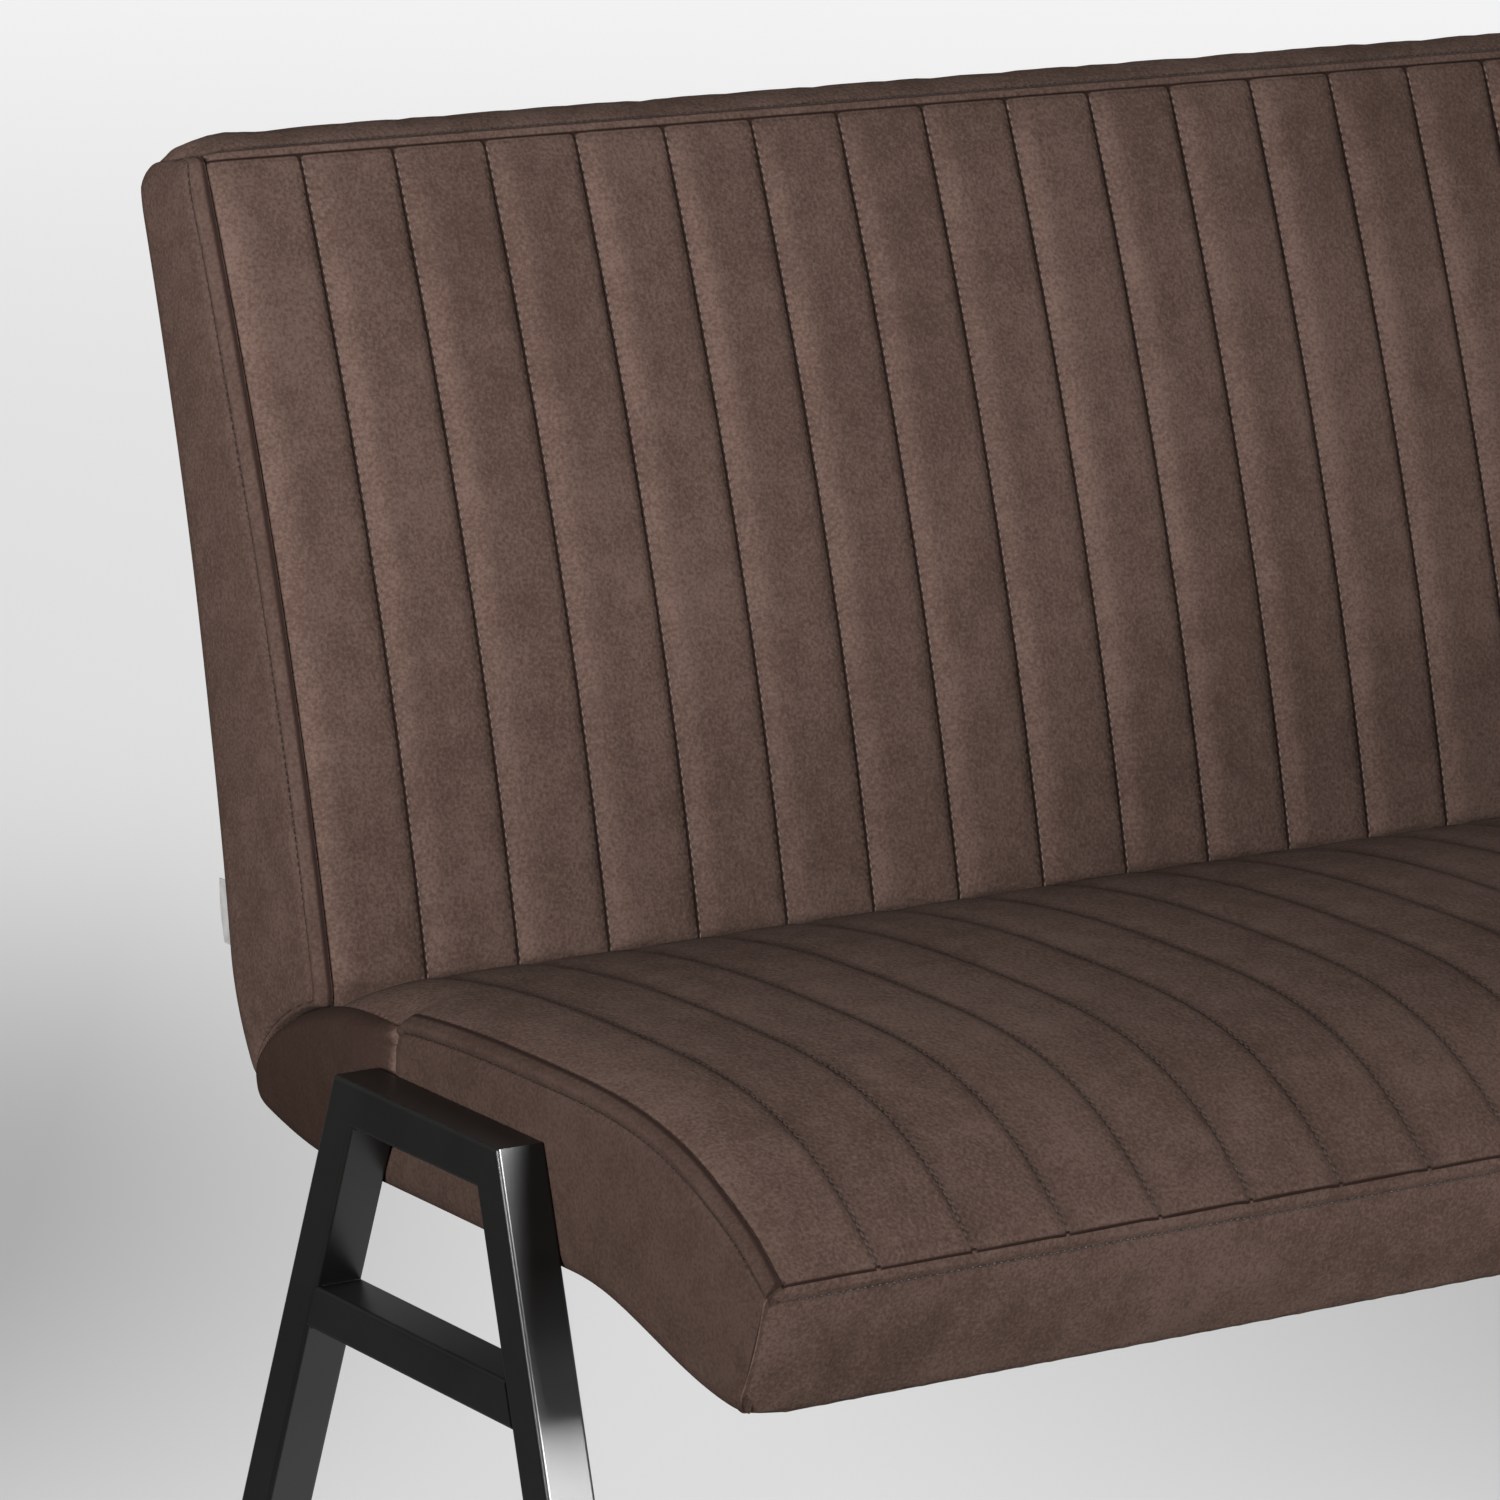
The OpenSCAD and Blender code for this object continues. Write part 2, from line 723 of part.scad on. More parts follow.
under_places = [
    for (i = [0:under_steps]) mix(band_low_in[0] + soft_gap, roll_rear - rear_in, i / under_steps)
];
module dust_cover_outline() polygon(concat(
    [for (y = under_places) [y, under_line(y)]],
    reversed([for (y = under_places) [y, under_line(y) + dust_t]])
));

// Blank tab that stands out of the seam between side band and rear cover
label_levels = [for (side = [-1, 0, 1]) label_z + side * label_h / 2];
module label_outline() polygon(concat(
    [for (z = label_levels) [rear_line(z) + soft_gap, z]],
    reversed([for (z = label_levels) [rear_line(z) + label_out, z]])
));

// Colours of the finishes
suede = "#5c4a42";
foam_grey = "#d8d4c8";
strap_black = "#2b2a2a";
zinc = "#b9bbbd";
plastic_black = "#161616";
label_grey = "#8f8d8a";

module left_top_rail() color(steel) frame_rail();
module left_front_leg() color(steel) frame_leg(-1);
module left_rear_leg() color(steel) frame_leg(1);
module left_crossbar() color(steel) frame_crossbar();
module right_top_rail() color(steel) on_right() frame_rail();
module right_front_leg() color(steel) on_right() frame_leg(-1);
module right_rear_leg() color(steel) on_right() frame_leg(1);
module right_crossbar() color(steel) on_right() frame_crossbar();
module foot_glides() color(plastic_black) for (side = [-1, 1]) {
    frame_glide(side);
    on_right() frame_glide(side);
}
module left_insert_nuts() color(zinc) at_bolts() insert_nut();
module right_insert_nuts() color(zinc) on_right() at_bolts() insert_nut();
module left_frame_bolts() color(zinc) at_bolts() frame_bolt();
module right_frame_bolts() color(zinc) on_right() at_bolts() frame_bolt();
module left_bolt_washers() color(zinc) at_bolts() bolt_washer();
module right_bolt_washers() color(zinc) on_right() at_bolts() bolt_washer();
module left_end_rib() color(plywood) end_rib();
module right_end_rib() color(plywood) on_right() end_rib();
module inner_ribs() color(plywood) for (place = [1:rib_bays - 1]) inner_rib(place);
module seat_front_rail() color(timber) rail_between() front_zone();
module seat_rear_rail() color(timber) rail_between() rear_zone();
module back_lower_rail() color(timber) rail_between() lower_zone();
module back_top_rail() color(timber) rail_between() top_zone();
module rail_screws() color(zinc) {
    at_screws() frame_screw(0);
    on_right() at_screws() frame_screw(0);
}
module seat_straps() color(strap_black) straps()
    seat_layers(pad_t + soft_gap, pad_t + soft_gap + strap_t);
module back_straps() color(strap_black) straps()
    back_layers(pad_t + soft_gap, pad_t + soft_gap + strap_t);
module seat_foam() color(foam_grey) placed()
    along_bench(-half_len, cushion_len) seat_layers(cover_t + soft_gap, pad_t);
module back_foam() color(foam_grey) placed()
    along_bench(-half_len, cushion_len) back_layers(cover_t + soft_gap, pad_t);
module seat_channel_cover() color(suede) placed() channelled(seat_profile);
module back_channel_cover() color(suede) placed() channelled(back_profile);
module seat_front_band() color(suede) placed()
    along_bench(-half_len, cushion_len) front_band_outline();
module left_seat_side_panel() color(suede) on_right() seat_side_panel();
module right_seat_side_panel() color(suede) seat_side_panel();
module left_back_side_band() color(suede) on_right() back_side_band();
module right_back_side_band() color(suede) back_side_band();
module back_top_band() color(suede) placed()
    along_bench(-half_len, cushion_len) top_band_outline();
module back_rear_cover() color(suede) placed()
    along_bench(-half_len, cushion_len) rear_cover_outline();
module under_dust_cover() color(strap_black) placed()
    along_bench(-half_len, cushion_len) dust_cover_outline();
module blank_label() color(label_grey) placed()
    along_bench(-half_len - label_t / 2, label_t) label_outline();

left_top_rail();
left_front_leg();
left_rear_leg();
left_crossbar();
right_top_rail();
right_front_leg();
right_rear_leg();
right_crossbar();
foot_glides();
left_insert_nuts();
right_insert_nuts();
left_frame_bolts();
right_frame_bolts();
left_bolt_washers();
right_bolt_washers();
left_end_rib();
right_end_rib();
inner_ribs();
seat_front_rail();
seat_rear_rail();
back_lower_rail();
back_top_rail();
rail_screws();
seat_straps();
back_straps();
seat_foam();
back_foam();
seat_channel_cover();
back_channel_cover();
seat_front_band();
left_seat_side_panel();
right_seat_side_panel();
left_back_side_band();
right_back_side_band();
back_top_band();
back_rear_cover();
under_dust_cover();
blank_label();
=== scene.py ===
"""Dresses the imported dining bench: suede covers with sewn channels on black steel leg frames.

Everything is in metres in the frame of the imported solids: X runs along the bench, the sitter looks
towards -Y and the floor is z = 0. Side profiles use y and z from the middle of a leg frame's top rail.
"""

import logging
import math
from dataclasses import dataclass, field
from enum import Enum
from typing import Callable, Sequence

import bpy
import numpy as np
from mathutils import Matrix, Vector, noise


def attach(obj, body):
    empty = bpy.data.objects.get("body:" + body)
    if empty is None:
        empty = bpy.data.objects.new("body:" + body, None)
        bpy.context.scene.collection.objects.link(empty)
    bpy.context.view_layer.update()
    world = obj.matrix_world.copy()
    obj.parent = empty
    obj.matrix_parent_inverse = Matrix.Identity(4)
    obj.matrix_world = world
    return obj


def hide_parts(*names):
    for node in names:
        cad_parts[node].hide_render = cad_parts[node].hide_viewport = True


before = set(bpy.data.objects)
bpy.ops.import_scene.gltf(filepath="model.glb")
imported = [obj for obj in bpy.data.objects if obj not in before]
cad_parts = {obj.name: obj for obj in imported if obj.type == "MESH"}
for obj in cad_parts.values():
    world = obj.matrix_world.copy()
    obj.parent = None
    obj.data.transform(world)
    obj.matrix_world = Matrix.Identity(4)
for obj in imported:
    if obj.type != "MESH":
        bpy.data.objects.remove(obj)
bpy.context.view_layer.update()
BODY = "root"
log = logging.getLogger("bench")

Array = np.ndarray
Colour = tuple[float, float, float, float]
Place = tuple[float, float, float]
BLACK: Colour = (0, 0, 0, 1)


class Side(Enum):
    """The two ends of the bench, by the sign of X."""

    LEFT = -1
    RIGHT = 1

    @property
    def word(self) -> str:
        """First word in the names of this end's pieces."""
        return self.name.lower()


def clamp01(values: Array) -> Array:
    """Limits values to the range from 0 to 1."""
    return np.clip(values, 0.0, 1.0)


def smooth(values: Array) -> Array:
    """Eases a ramp from 0 to 1 at both of its ends."""
    u = clamp01(values)
    return u * u * (3 - 2 * u)


def quarter(distance: Array, radius: float) -> Array:
    """Height of a quarter ellipse, as a share, at a distance from the seam where it starts."""
    return np.sqrt(1 - (1 - clamp01(distance / radius)) ** 2)


def bell(distance: Array, width: float) -> Array:
    """Share of a swell or fold that is left at a distance from its middle."""
    return np.exp(-((distance / width) ** 2))


def fading(distance: Array, reach: float) -> Array:
    """Share of a dip that is left at a distance from its seam."""
    return np.exp(-np.abs(distance) / reach)


def flank(distance: Array, straight: float, reach: float) -> Array:
    """Share of a pillow's height beside a seam.

    Args:
        distance: distance from the seam.
        straight: how far the pillow rises in a straight line.
        reach: where it is at its full height, after a rounded part.

    Returns:
        Shares from 0 to 1.
    """
    bend = reach - straight
    d = np.clip(distance, 0.0, reach)
    u = np.clip((d - straight) / bend, 0.0, 1.0)
    return (np.minimum(d, straight) + bend * (u - u * u / 2)) / (straight + bend / 2)


def unit(vectors: Array) -> Array:
    """Scales vectors along the last axis to length 1."""
    return vectors / np.linalg.norm(vectors, axis=-1, keepdims=True)


# The sewing attribute places the painted crease shade beside seams and the pucker bump at stitches.
def sewing_map(near: Array, along: Array, pucker: float) -> Array:
    """Joins the three parts of the sewing attribute for a grid of points.

    Args:
        near: distance to the nearest seam.
        along: way along that seam.
        pucker: how strongly its stitches draw the cloth in.

    Returns:
        One row of three values for each point of the grid.
    """
    return np.stack([near, np.broadcast_to(along, near.shape), np.full(near.shape, pucker)], axis=-1)


def arc_lengths(points: Array) -> Array:
    """Running length along a row of points."""
    steps = np.linalg.norm(np.diff(points, axis=0), axis=1)
    return np.concatenate([[0.0], np.cumsum(steps)])


def resampled(points: Array, count: int, dense_end: float = 0.0) -> Array:
    """Spreads count points evenly along a line of points.

    Args:
        points: the line, one point a row.
        count: how many points come back.
        dense_end: 0 for even steps, up to 1 for steps that shrink towards both ends.

    Returns:
        The new points, first and last as before.
    """
    run = arc_lengths(points)
    u = np.linspace(0, 1, count)
    u = (1 - dense_end) * u + dense_end * smooth(u)
    return np.stack([np.interp(u * run[-1], run, points[:, k]) for k in range(points.shape[1])], axis=1)


def ripple(points: Array, scale: float, height: float, seed: float) -> Array:
    """Gentle unevenness of padding, one value for each point.

    Args:
        points: grid of points, in metres.
        scale: size of one swell.
        height: most that a swell rises or falls.
        seed: shift of the pattern, so that pieces differ.

    Returns:
        Heights in metres, in the shape of the grid.
    """
    flat = points.reshape(-1, 3) / scale + seed
    values = np.fromiter((noise.noise(Vector(p)) for p in flat), float, len(flat))
    return (values * height).reshape(points.shape[:-1])


@dataclass(frozen=True)
class SideProfile:
    """Side view of the upholstery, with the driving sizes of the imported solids."""

    half_len: float = 0.870
    frame_height: float = 0.435
    seat_front: float = 0.280
    seat_crown: float = 0.044
    crown_front: float = 0.060
    nose_drop: float = 0.067
    nose_power: float = 3.3
    rear_drop: float = 0.019
    tail_power: float = 2.5
    seat_under: float = 0.066
    under_drop: float = 0.031
    under_start: float = 0.100
    under_end: float = 0.140
    under_power: float = 1.5
    band_tuck: float = 0.023
    edge_drop: float = 0.005
    roll_rear: float = 0.206
    roll_top: float = 0.023
    roll_mid: float = 0.100
    roll_tip: float = -0.051
    pinch_y: float = 0.077
    pinch_reach: float = 0.020
    back_foot: float = 0.141
    back_top: float = 0.455
    recline_foot: float = 14.0
    recline_top: float = 23.5
    back_t_foot: float = 0.101
    back_t_top: float = 0.072
    top_rise: float = 0.009
    top_corner: float = 0.034
    top_middle: tuple[float, float] = (0.004, 0.010)
    top_fall: float = 0.014
    fall_front: float = 0.030
    fall_rear: float = 0.045
    front_rise: float = 0.0021
    channel_pitch: float = 0.060
    probe: float = 1e-4

    @property
    def foot_z(self) -> float:
        """Height of the crease between seat and back."""
        return self.seat_crown - self.rear_drop

    @property
    def band_low_y(self) -> float:
        """Place of the front band's lower edge."""
        return -(self.seat_front - self.band_tuck)

    @property
    def corner_z(self) -> float:
        """Height where the rounded top starts on the rear cover."""
        return self.back_top + self.top_rise - self.top_corner

    @property
    def mid_shift(self) -> float:
        """Distance from the leg frame's middle to the middle of the bench's depth."""
        front_y = -self.seat_front + self.front_rise * self.seat_normal(np.array(-self.seat_front))[0]
        return float((self.rear_y(np.array(self.corner_z)) + front_y) / 2)

    def slope(self, curve: Callable[[Array], Array], at: Array) -> Array:
        """Slope of one of the side view's curves at some places."""
        return (curve(at + self.probe) - curve(at - self.probe)) / (2 * self.probe)

    def seat_z(self, y: Array) -> Array:
        """Height of the seat's seams."""
        ahead = clamp01((-self.crown_front - y) / (self.seat_front - self.crown_front))
        behind = np.maximum(0, (y + self.crown_front) / (self.back_foot + self.crown_front))
        nose, tail = self.nose_drop * ahead**self.nose_power, self.rear_drop * behind**self.tail_power
        return self.seat_crown - nose - tail

    def seat_normal(self, y: Array) -> Array:
        """Direction square to the seat, as y and z."""
        slope = self.slope(self.seat_z, y)
        return unit(np.stack([-slope, np.ones_like(slope)], axis=-1))

    def seat_line(self, start: float, end: float, count: int) -> Array:
        """Points of the seat's seams between two places."""
        y = np.linspace(start, end, count)
        return np.stack([y, self.seat_z(y)], axis=1)

    def under_z(self, y: Array) -> Array:
        """Height of the seat's underside."""
        reach = self.seat_front - self.band_tuck - self.under_start
        u = clamp01((-self.under_start - y) / reach)
        w = clamp01((y - self.under_end) / (self.roll_rear - self.under_end))
        drop = self.under_drop * (1 - np.cos(np.pi * u)) / 2
        return -self.seat_under - drop + (self.roll_tip + self.seat_under) * w**self.under_power

    def back_y(self, z: Array) -> Array:
        """Place of the back's seams."""
        slope = math.tan(math.radians(self.recline_foot))
        rise = self.back_top - self.foot_z
        bend = (math.tan(math.radians(self.recline_top)) - slope) / (2 * rise)
        s = z - self.foot_z
        return self.back_foot + slope * s + bend * s * np.maximum(0, s)

    def back_normal(self, z: Array) -> Array:
        """Direction square to the back's front, as y and z."""
        slope = self.slope(self.back_y, z)
        return unit(np.stack([-np.ones_like(slope), slope], axis=-1))

    def back_line(self, start: float, end: float, count: int) -> Array:
        """Points of the back's seams between two heights."""
        z = np.linspace(start, end, count)
        return np.stack([self.back_y(z), z], axis=1)

    def rear_y(self, z: Array) -> Array:
        """Place of the back's rear cover, round the heel to the roll's tip."""
        thinning = (self.back_t_top - self.back_t_foot) / (self.back_top - self.foot_z)
        s = z - self.foot_z
        above = self.back_y(np.maximum(z, self.foot_z)) + self.back_t_foot + thinning * s
        fall = self.roll_tip - self.foot_z
        slope = math.tan(math.radians(self.recline_foot)) + thinning
        base = self.back_foot + self.back_t_foot
        bend = (base + slope * fall - self.roll_rear) / (fall * fall)
        return np.where(s > 0, above, base + slope * s - bend * s * s)

    def rear_line(self, start: float, end: float, count: int) -> Array:
        """Points of the rear cover between two heights."""
        z = np.linspace(start, end, count)
        return np.stack([self.rear_y(z), z], axis=1)

    def roll_point(self, angle: Array) -> Array:
        """Point of the roll's outline, from its tip at 0 to its top at a right angle."""
        return np.stack([
            self.roll_mid + (self.roll_rear - self.roll_mid) * np.cos(angle),
            self.roll_tip + (self.roll_top - self.roll_tip) * np.sin(angle),
        ], axis=-1)

    def side_top_z(self, y: Array) -> Array:
        """Height of the seam that ends the channelled seat at the bench's ends."""
        u = clamp01((y - self.roll_mid) / (self.roll_rear - self.roll_mid))
        roll = self.roll_tip + (self.roll_top - self.roll_tip) * np.sqrt(1 - u * u)
        seat = self.seat_z(y)
        ahead = seat - self.edge_drop * smooth((y + self.seat_front) / self.channel_pitch)
        behind = np.minimum(roll, seat - self.edge_drop)
        share = smooth((y - self.pinch_y + self.pinch_reach) / self.pinch_reach)
        return ahead + (behind - ahead) * share

    def top_line(self, count: int, inset: float = 0.0) -> Array:
        """Rounded top of the back, from its front seam to the rear cover.

        Args:
            count: how many points the line has.
            inset: how far the line lies inside the finished surface.

        Returns:
            Points as y and z.
        """
        start_y = float(self.back_y(np.array(self.back_top)))
        apex_y = float(self.rear_y(np.array(self.corner_z))) - self.top_corner
        u = np.linspace(0, 1, count)
        front = np.stack([
            start_y + (apex_y - start_y) * u,
            self.back_top + self.top_rise * np.sin(0.5 * np.pi * u),
        ], axis=1)
        a = 0.5 * np.pi * (1 - u)
        rear = np.array([apex_y, self.corner_z]) + self.top_corner * np.stack([np.cos(a), np.sin(a)], axis=1)
        line = np.concatenate([front, rear[1:]])
        centre = np.array([apex_y, self.corner_z]) - np.array(self.top_middle)
        return resampled(line + unit(centre - line) * inset, count)

    def crown_line(self, count: int) -> tuple[Array, Array]:
        """Top line of the back, plain and as it lies at the ends, where it is lower.

        Args:
            count: how many points each line has.

        Returns:
            The plain line and the lowered line.
        """
        plain = self.top_line(count)
        run = arc_lengths(plain)
        share = smooth(run / self.fall_front) * smooth((run[-1] - run) / self.fall_rear)
        return plain, plain + (self.top_line(count, self.top_fall) - plain) * share[:, None]

    def place(self, x: Array, y: Array, z: Array) -> Array:
        """Turns side view coordinates into points of the bench."""
        x, y, z = np.broadcast_arrays(x, y, z)
        return np.stack([x, y - self.mid_shift, z + self.frame_height], axis=-1)


@dataclass(frozen=True)
class Sewing:
    """Sizes of the seams and of what the needle leaves."""

    groove: float = 0.0020
    groove_reach: float = 0.0024
    end_gap: float = 0.0006
    stitch_pitch: float = 0.0050
    stitch_len: float = 0.0036
    thread: float = 0.0011
    thread_lift: float = 0.0002
    topstitch_inset: float = 0.0105
    topstitch_dip: float = 0.0022
    topstitch_reach: float = 0.0020
    topstitch_gap: float = 0.0005
    welt: float = 0.0022
    welt_place: float = 0.5
    welt_spread: float = 0.3
    pucker: float = 0.25

    def dip(self, distance: Array) -> Array:
        """Depth of the groove at a distance from a seam."""
        return self.groove * fading(distance, self.groove_reach)

    def topstitched(self, distance: Array) -> Array:
        """Depth beside a topstitched seam: a dip under the stitches and a welt towards the seam."""
        middle = self.welt_place * self.topstitch_inset
        welt = self.welt * bell(distance - middle, self.welt_spread * self.topstitch_inset)
        return self.topstitch_dip * fading(distance - self.topstitch_inset, self.topstitch_reach) - welt

    def near(self, distance: Array) -> Array:
        """Distance to the seam or to its topstitching, whichever is nearer."""
        # This distance also places the painted crease shade along the topstitching.
        return np.minimum(distance, np.abs(distance - self.topstitch_inset) + self.topstitch_gap)


PROFILE = SideProfile()
SEWING = Sewing()


def coordinates(mesh: bpy.types.Mesh) -> Array:
    """Places of a mesh's points, one a row."""
    co = np.zeros(len(mesh.vertices) * 3)
    mesh.vertices.foreach_get("co", co)
    return co.reshape(-1, 3)


def signed_volume(mesh: bpy.types.Mesh) -> float:
    """Volume inside a closed mesh, below zero if its faces look inwards.

    Args:
        mesh: the closed mesh.

    Returns:
        The volume in cubic metres.
    """
    mesh.calc_loop_triangles()
    corners = np.zeros(len(mesh.loop_triangles) * 3, np.int32)
    mesh.loop_triangles.foreach_get("vertices", corners)
    tri = coordinates(mesh)[corners.reshape(-1, 3)]
    return float(np.einsum("ij,ij->i", tri[:, 0], np.cross(tri[:, 1], tri[:, 2])).sum() / 6)


def linked(name: str, mesh: bpy.types.Mesh) -> bpy.types.Object:
    """Puts a mesh into the scene as an object at the origin."""
    piece = bpy.data.objects.new(name, mesh)
    bpy.context.scene.collection.objects.link(piece)
    return piece


def line_mesh(name: str, lines: Sequence[Array]) -> bpy.types.Mesh:
    """Makes a mesh of edges along lines of points, for a node tree to work on.

    Args:
        name: name of the mesh.
        lines: the lines, one point a row.

    Returns:
        The mesh.
    """
    edges, first = [], 0
    for line in lines:
        edges += [(k, k + 1) for k in range(first, first + len(line) - 1)]
        first += len(line)
    mesh = bpy.data.meshes.new(name)
    mesh.from_pydata(np.concatenate(lines).tolist(), edges, [])
    return mesh


def paint(piece: bpy.types.Object, material: bpy.types.Material) -> None:
    """Gives a piece its one material."""
    piece.data.materials.clear()
    piece.data.materials.append(material)


def declare(piece: bpy.types.Object, nodes: Sequence[str] = ()) -> None:
    """Reports a finished piece to the frame.

    Args:
        piece: the finished object.
        nodes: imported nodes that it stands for.
    """
    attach(piece, BODY)
    if nodes:
        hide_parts(*nodes)
    log.info("made %s with %d faces", piece.name, len(piece.data.polygons))


@dataclass(frozen=True)
class Filling:
    """Padding that presses the cloth of a closed piece outwards while its seams hold it."""

    pressure: float = 4.0
    spare: float = 0.02
    frames: int = 14
    steps: int = 3
    travel: float = 0.0018
    point_mass: float = 0.3
    held_width: float = 0.004

    def loose(self, seams: Array, reach: float) -> Array:
        """How freely points move at a distance from the seams, from 0 to 1 over a reach."""
        return smooth((seams - self.held_width) / reach)

    def _modifier(self, piece: bpy.types.Object, free: Array) -> None:
        """Adds the cloth simulation to a piece.

        Args:
            piece: the closed piece.
            free: for each point of its outer grid, 0 where a seam holds it and 1 where it can move.
        """
        held = np.ones(len(piece.data.vertices))
        held[: free.size] = np.round(1 - free.ravel(), 1)
        group = piece.vertex_groups.new(name="held")
        for level in np.unique(held[held > 0]):
            group.add(np.flatnonzero(held == level).tolist(), float(level), "REPLACE")
        cloth = piece.modifiers.new("padding", "CLOTH")
        cloth.settings.vertex_group_mass = group.name
        cloth.settings.mass = self.point_mass
        cloth.settings.quality = self.steps
        cloth.settings.use_pressure = True
        cloth.settings.uniform_pressure_force = self.pressure
        cloth.settings.effector_weights.gravity = 0.0
        cloth.settings.shrink_min = -self.spare
        cloth.collision_settings.use_collision = False
        cloth.point_cache.frame_end = self.frames

    def press(self, piece: bpy.types.Object, free: Array) -> None:
        """Runs the cloth simulation on a piece and keeps its result in the mesh.

        Args:
            piece: a closed piece whose outer grid comes first in its mesh.
            free: for each point of that grid, 0 where a seam holds it and 1 where it can move.
        """
        self._modifier(piece, free)
        for number in range(1, self.frames + 1):
            bpy.context.scene.frame_set(number)
        start = coordinates(piece.data)
        shaped = piece.evaluated_get(bpy.context.evaluated_depsgraph_get())
        moved = coordinates(shaped.to_mesh()) - start
        shaped.to_mesh_clear()
        piece.modifiers.clear()
        piece.vertex_groups.clear()
        bpy.context.scene.frame_set(1)
        furthest = float(np.linalg.norm(moved, axis=1).max())
        log.info("%s moved %.2f mm at most in the simulation", piece.name, 1000 * furthest)
        moved *= self.travel / max(furthest, self.travel)
        piece.data.vertices.foreach_set("co", (start + moved).ravel())
        piece.data.update()


FILLING = Filling()


@dataclass
class ClothMesh:
    """A closed padded piece: a fine outer face, a plain inner face and walls between them.

    The inner grid holds every stride-th column of the outer grid. Edges with a sharper turn than
    sharp_deg stay crisp.
    """

    name: str
    outer: Array
    inner: Array
    stride: int = 1
    sharp_deg: float = 50.0
    no_seam: float = 0.05

    def _faces(self) -> list[list[int]]:
        """Faces of the outer grid, the inner grid and the walls between them."""
        rows, cols = self.outer.shape[:2]
        inner_cols = self.inner.shape[1]
        top = np.arange(rows * cols).reshape(rows, cols)
        low = rows * cols + np.arange(rows * inner_cols).reshape(rows, inner_cols)
        walls = np.stack([
            np.stack([top[:-1, 0], top[1:, 0], low[1:, 0], low[:-1, 0]], axis=-1),
            np.stack([top[:-1, -1], low[:-1, -1], low[1:, -1], top[1:, -1]], axis=-1),
        ], axis=1)
        grids = (
            np.stack([top[:-1, :-1], top[:-1, 1:], top[1:, 1:], top[1:, :-1]], axis=-1),
            np.stack([low[:-1, :-1], low[1:, :-1], low[1:, 1:], low[:-1, 1:]], axis=-1),
            walls,
        )
        faces = [face for grid in grids for face in grid.reshape(-1, 4).tolist()]
        for c in range(inner_cols - 1):
            span = slice(c * self.stride, (c + 1) * self.stride + 1)
            faces.append(top[0, span][::-1].tolist() + low[0, c : c + 2].tolist())
            faces.append(top[-1, span].tolist() + low[-1, c : c + 2][::-1].tolist())
        return faces

    def build(self, sewing: Array | None = None, nap: Array | None = None) -> bpy.types.Object:
        """Makes the object.

        Args:
            sewing: for each outer point, distance to the nearest seam, way along it and pucker.
            nap: for each outer point, how much painted shade darkens the cloth, from 0 to 1.

        Returns:
            The new object, linked to the scene.
        """
        points = np.concatenate([self.outer.reshape(-1, 3), self.inner.reshape(-1, 3)])
        mesh = bpy.data.meshes.new(self.name)
        mesh.from_pydata(points.tolist(), [], self._faces())
        mesh.update()
        if signed_volume(mesh) < 0:
            mesh.flip_normals()
        seams = np.tile([self.no_seam, 0.0, 0.0], (len(points), 1)).astype(np.float32)
        lie = np.zeros(len(points), np.float32)
        if sewing is not None:
            seams[: sewing.shape[0] * sewing.shape[1]] = sewing.reshape(-1, 3)
        if nap is not None:
            lie[: nap.size] = nap.ravel()
        mesh.attributes.new("sewing", "FLOAT_VECTOR", "POINT").data.foreach_set("vector", seams.ravel())
        # The nap attribute carries painted shade.
        mesh.attributes.new("nap", "FLOAT", "POINT").data.foreach_set("value", lie)
        mesh.polygons.foreach_set("use_smooth", [True] * len(mesh.polygons))
        mesh.set_sharp_from_angle(angle=math.radians(self.sharp_deg))
        return linked(self.name, mesh)

    def finish(
        self,
        material: bpy.types.Material,
        node: str,
        sewing: Array | None = None,
        nap: Array | None = None,
        free: Array | None = None,
    ) -> bpy.types.Object:
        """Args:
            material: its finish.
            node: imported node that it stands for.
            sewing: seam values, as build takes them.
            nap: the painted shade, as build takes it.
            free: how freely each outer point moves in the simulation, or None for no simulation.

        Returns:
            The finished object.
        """
        piece = self.build(sewing, nap)
        if free is not None:
            FILLING.press(piece, free)
        paint(piece, material)
        declare(piece, [node])
        return piece


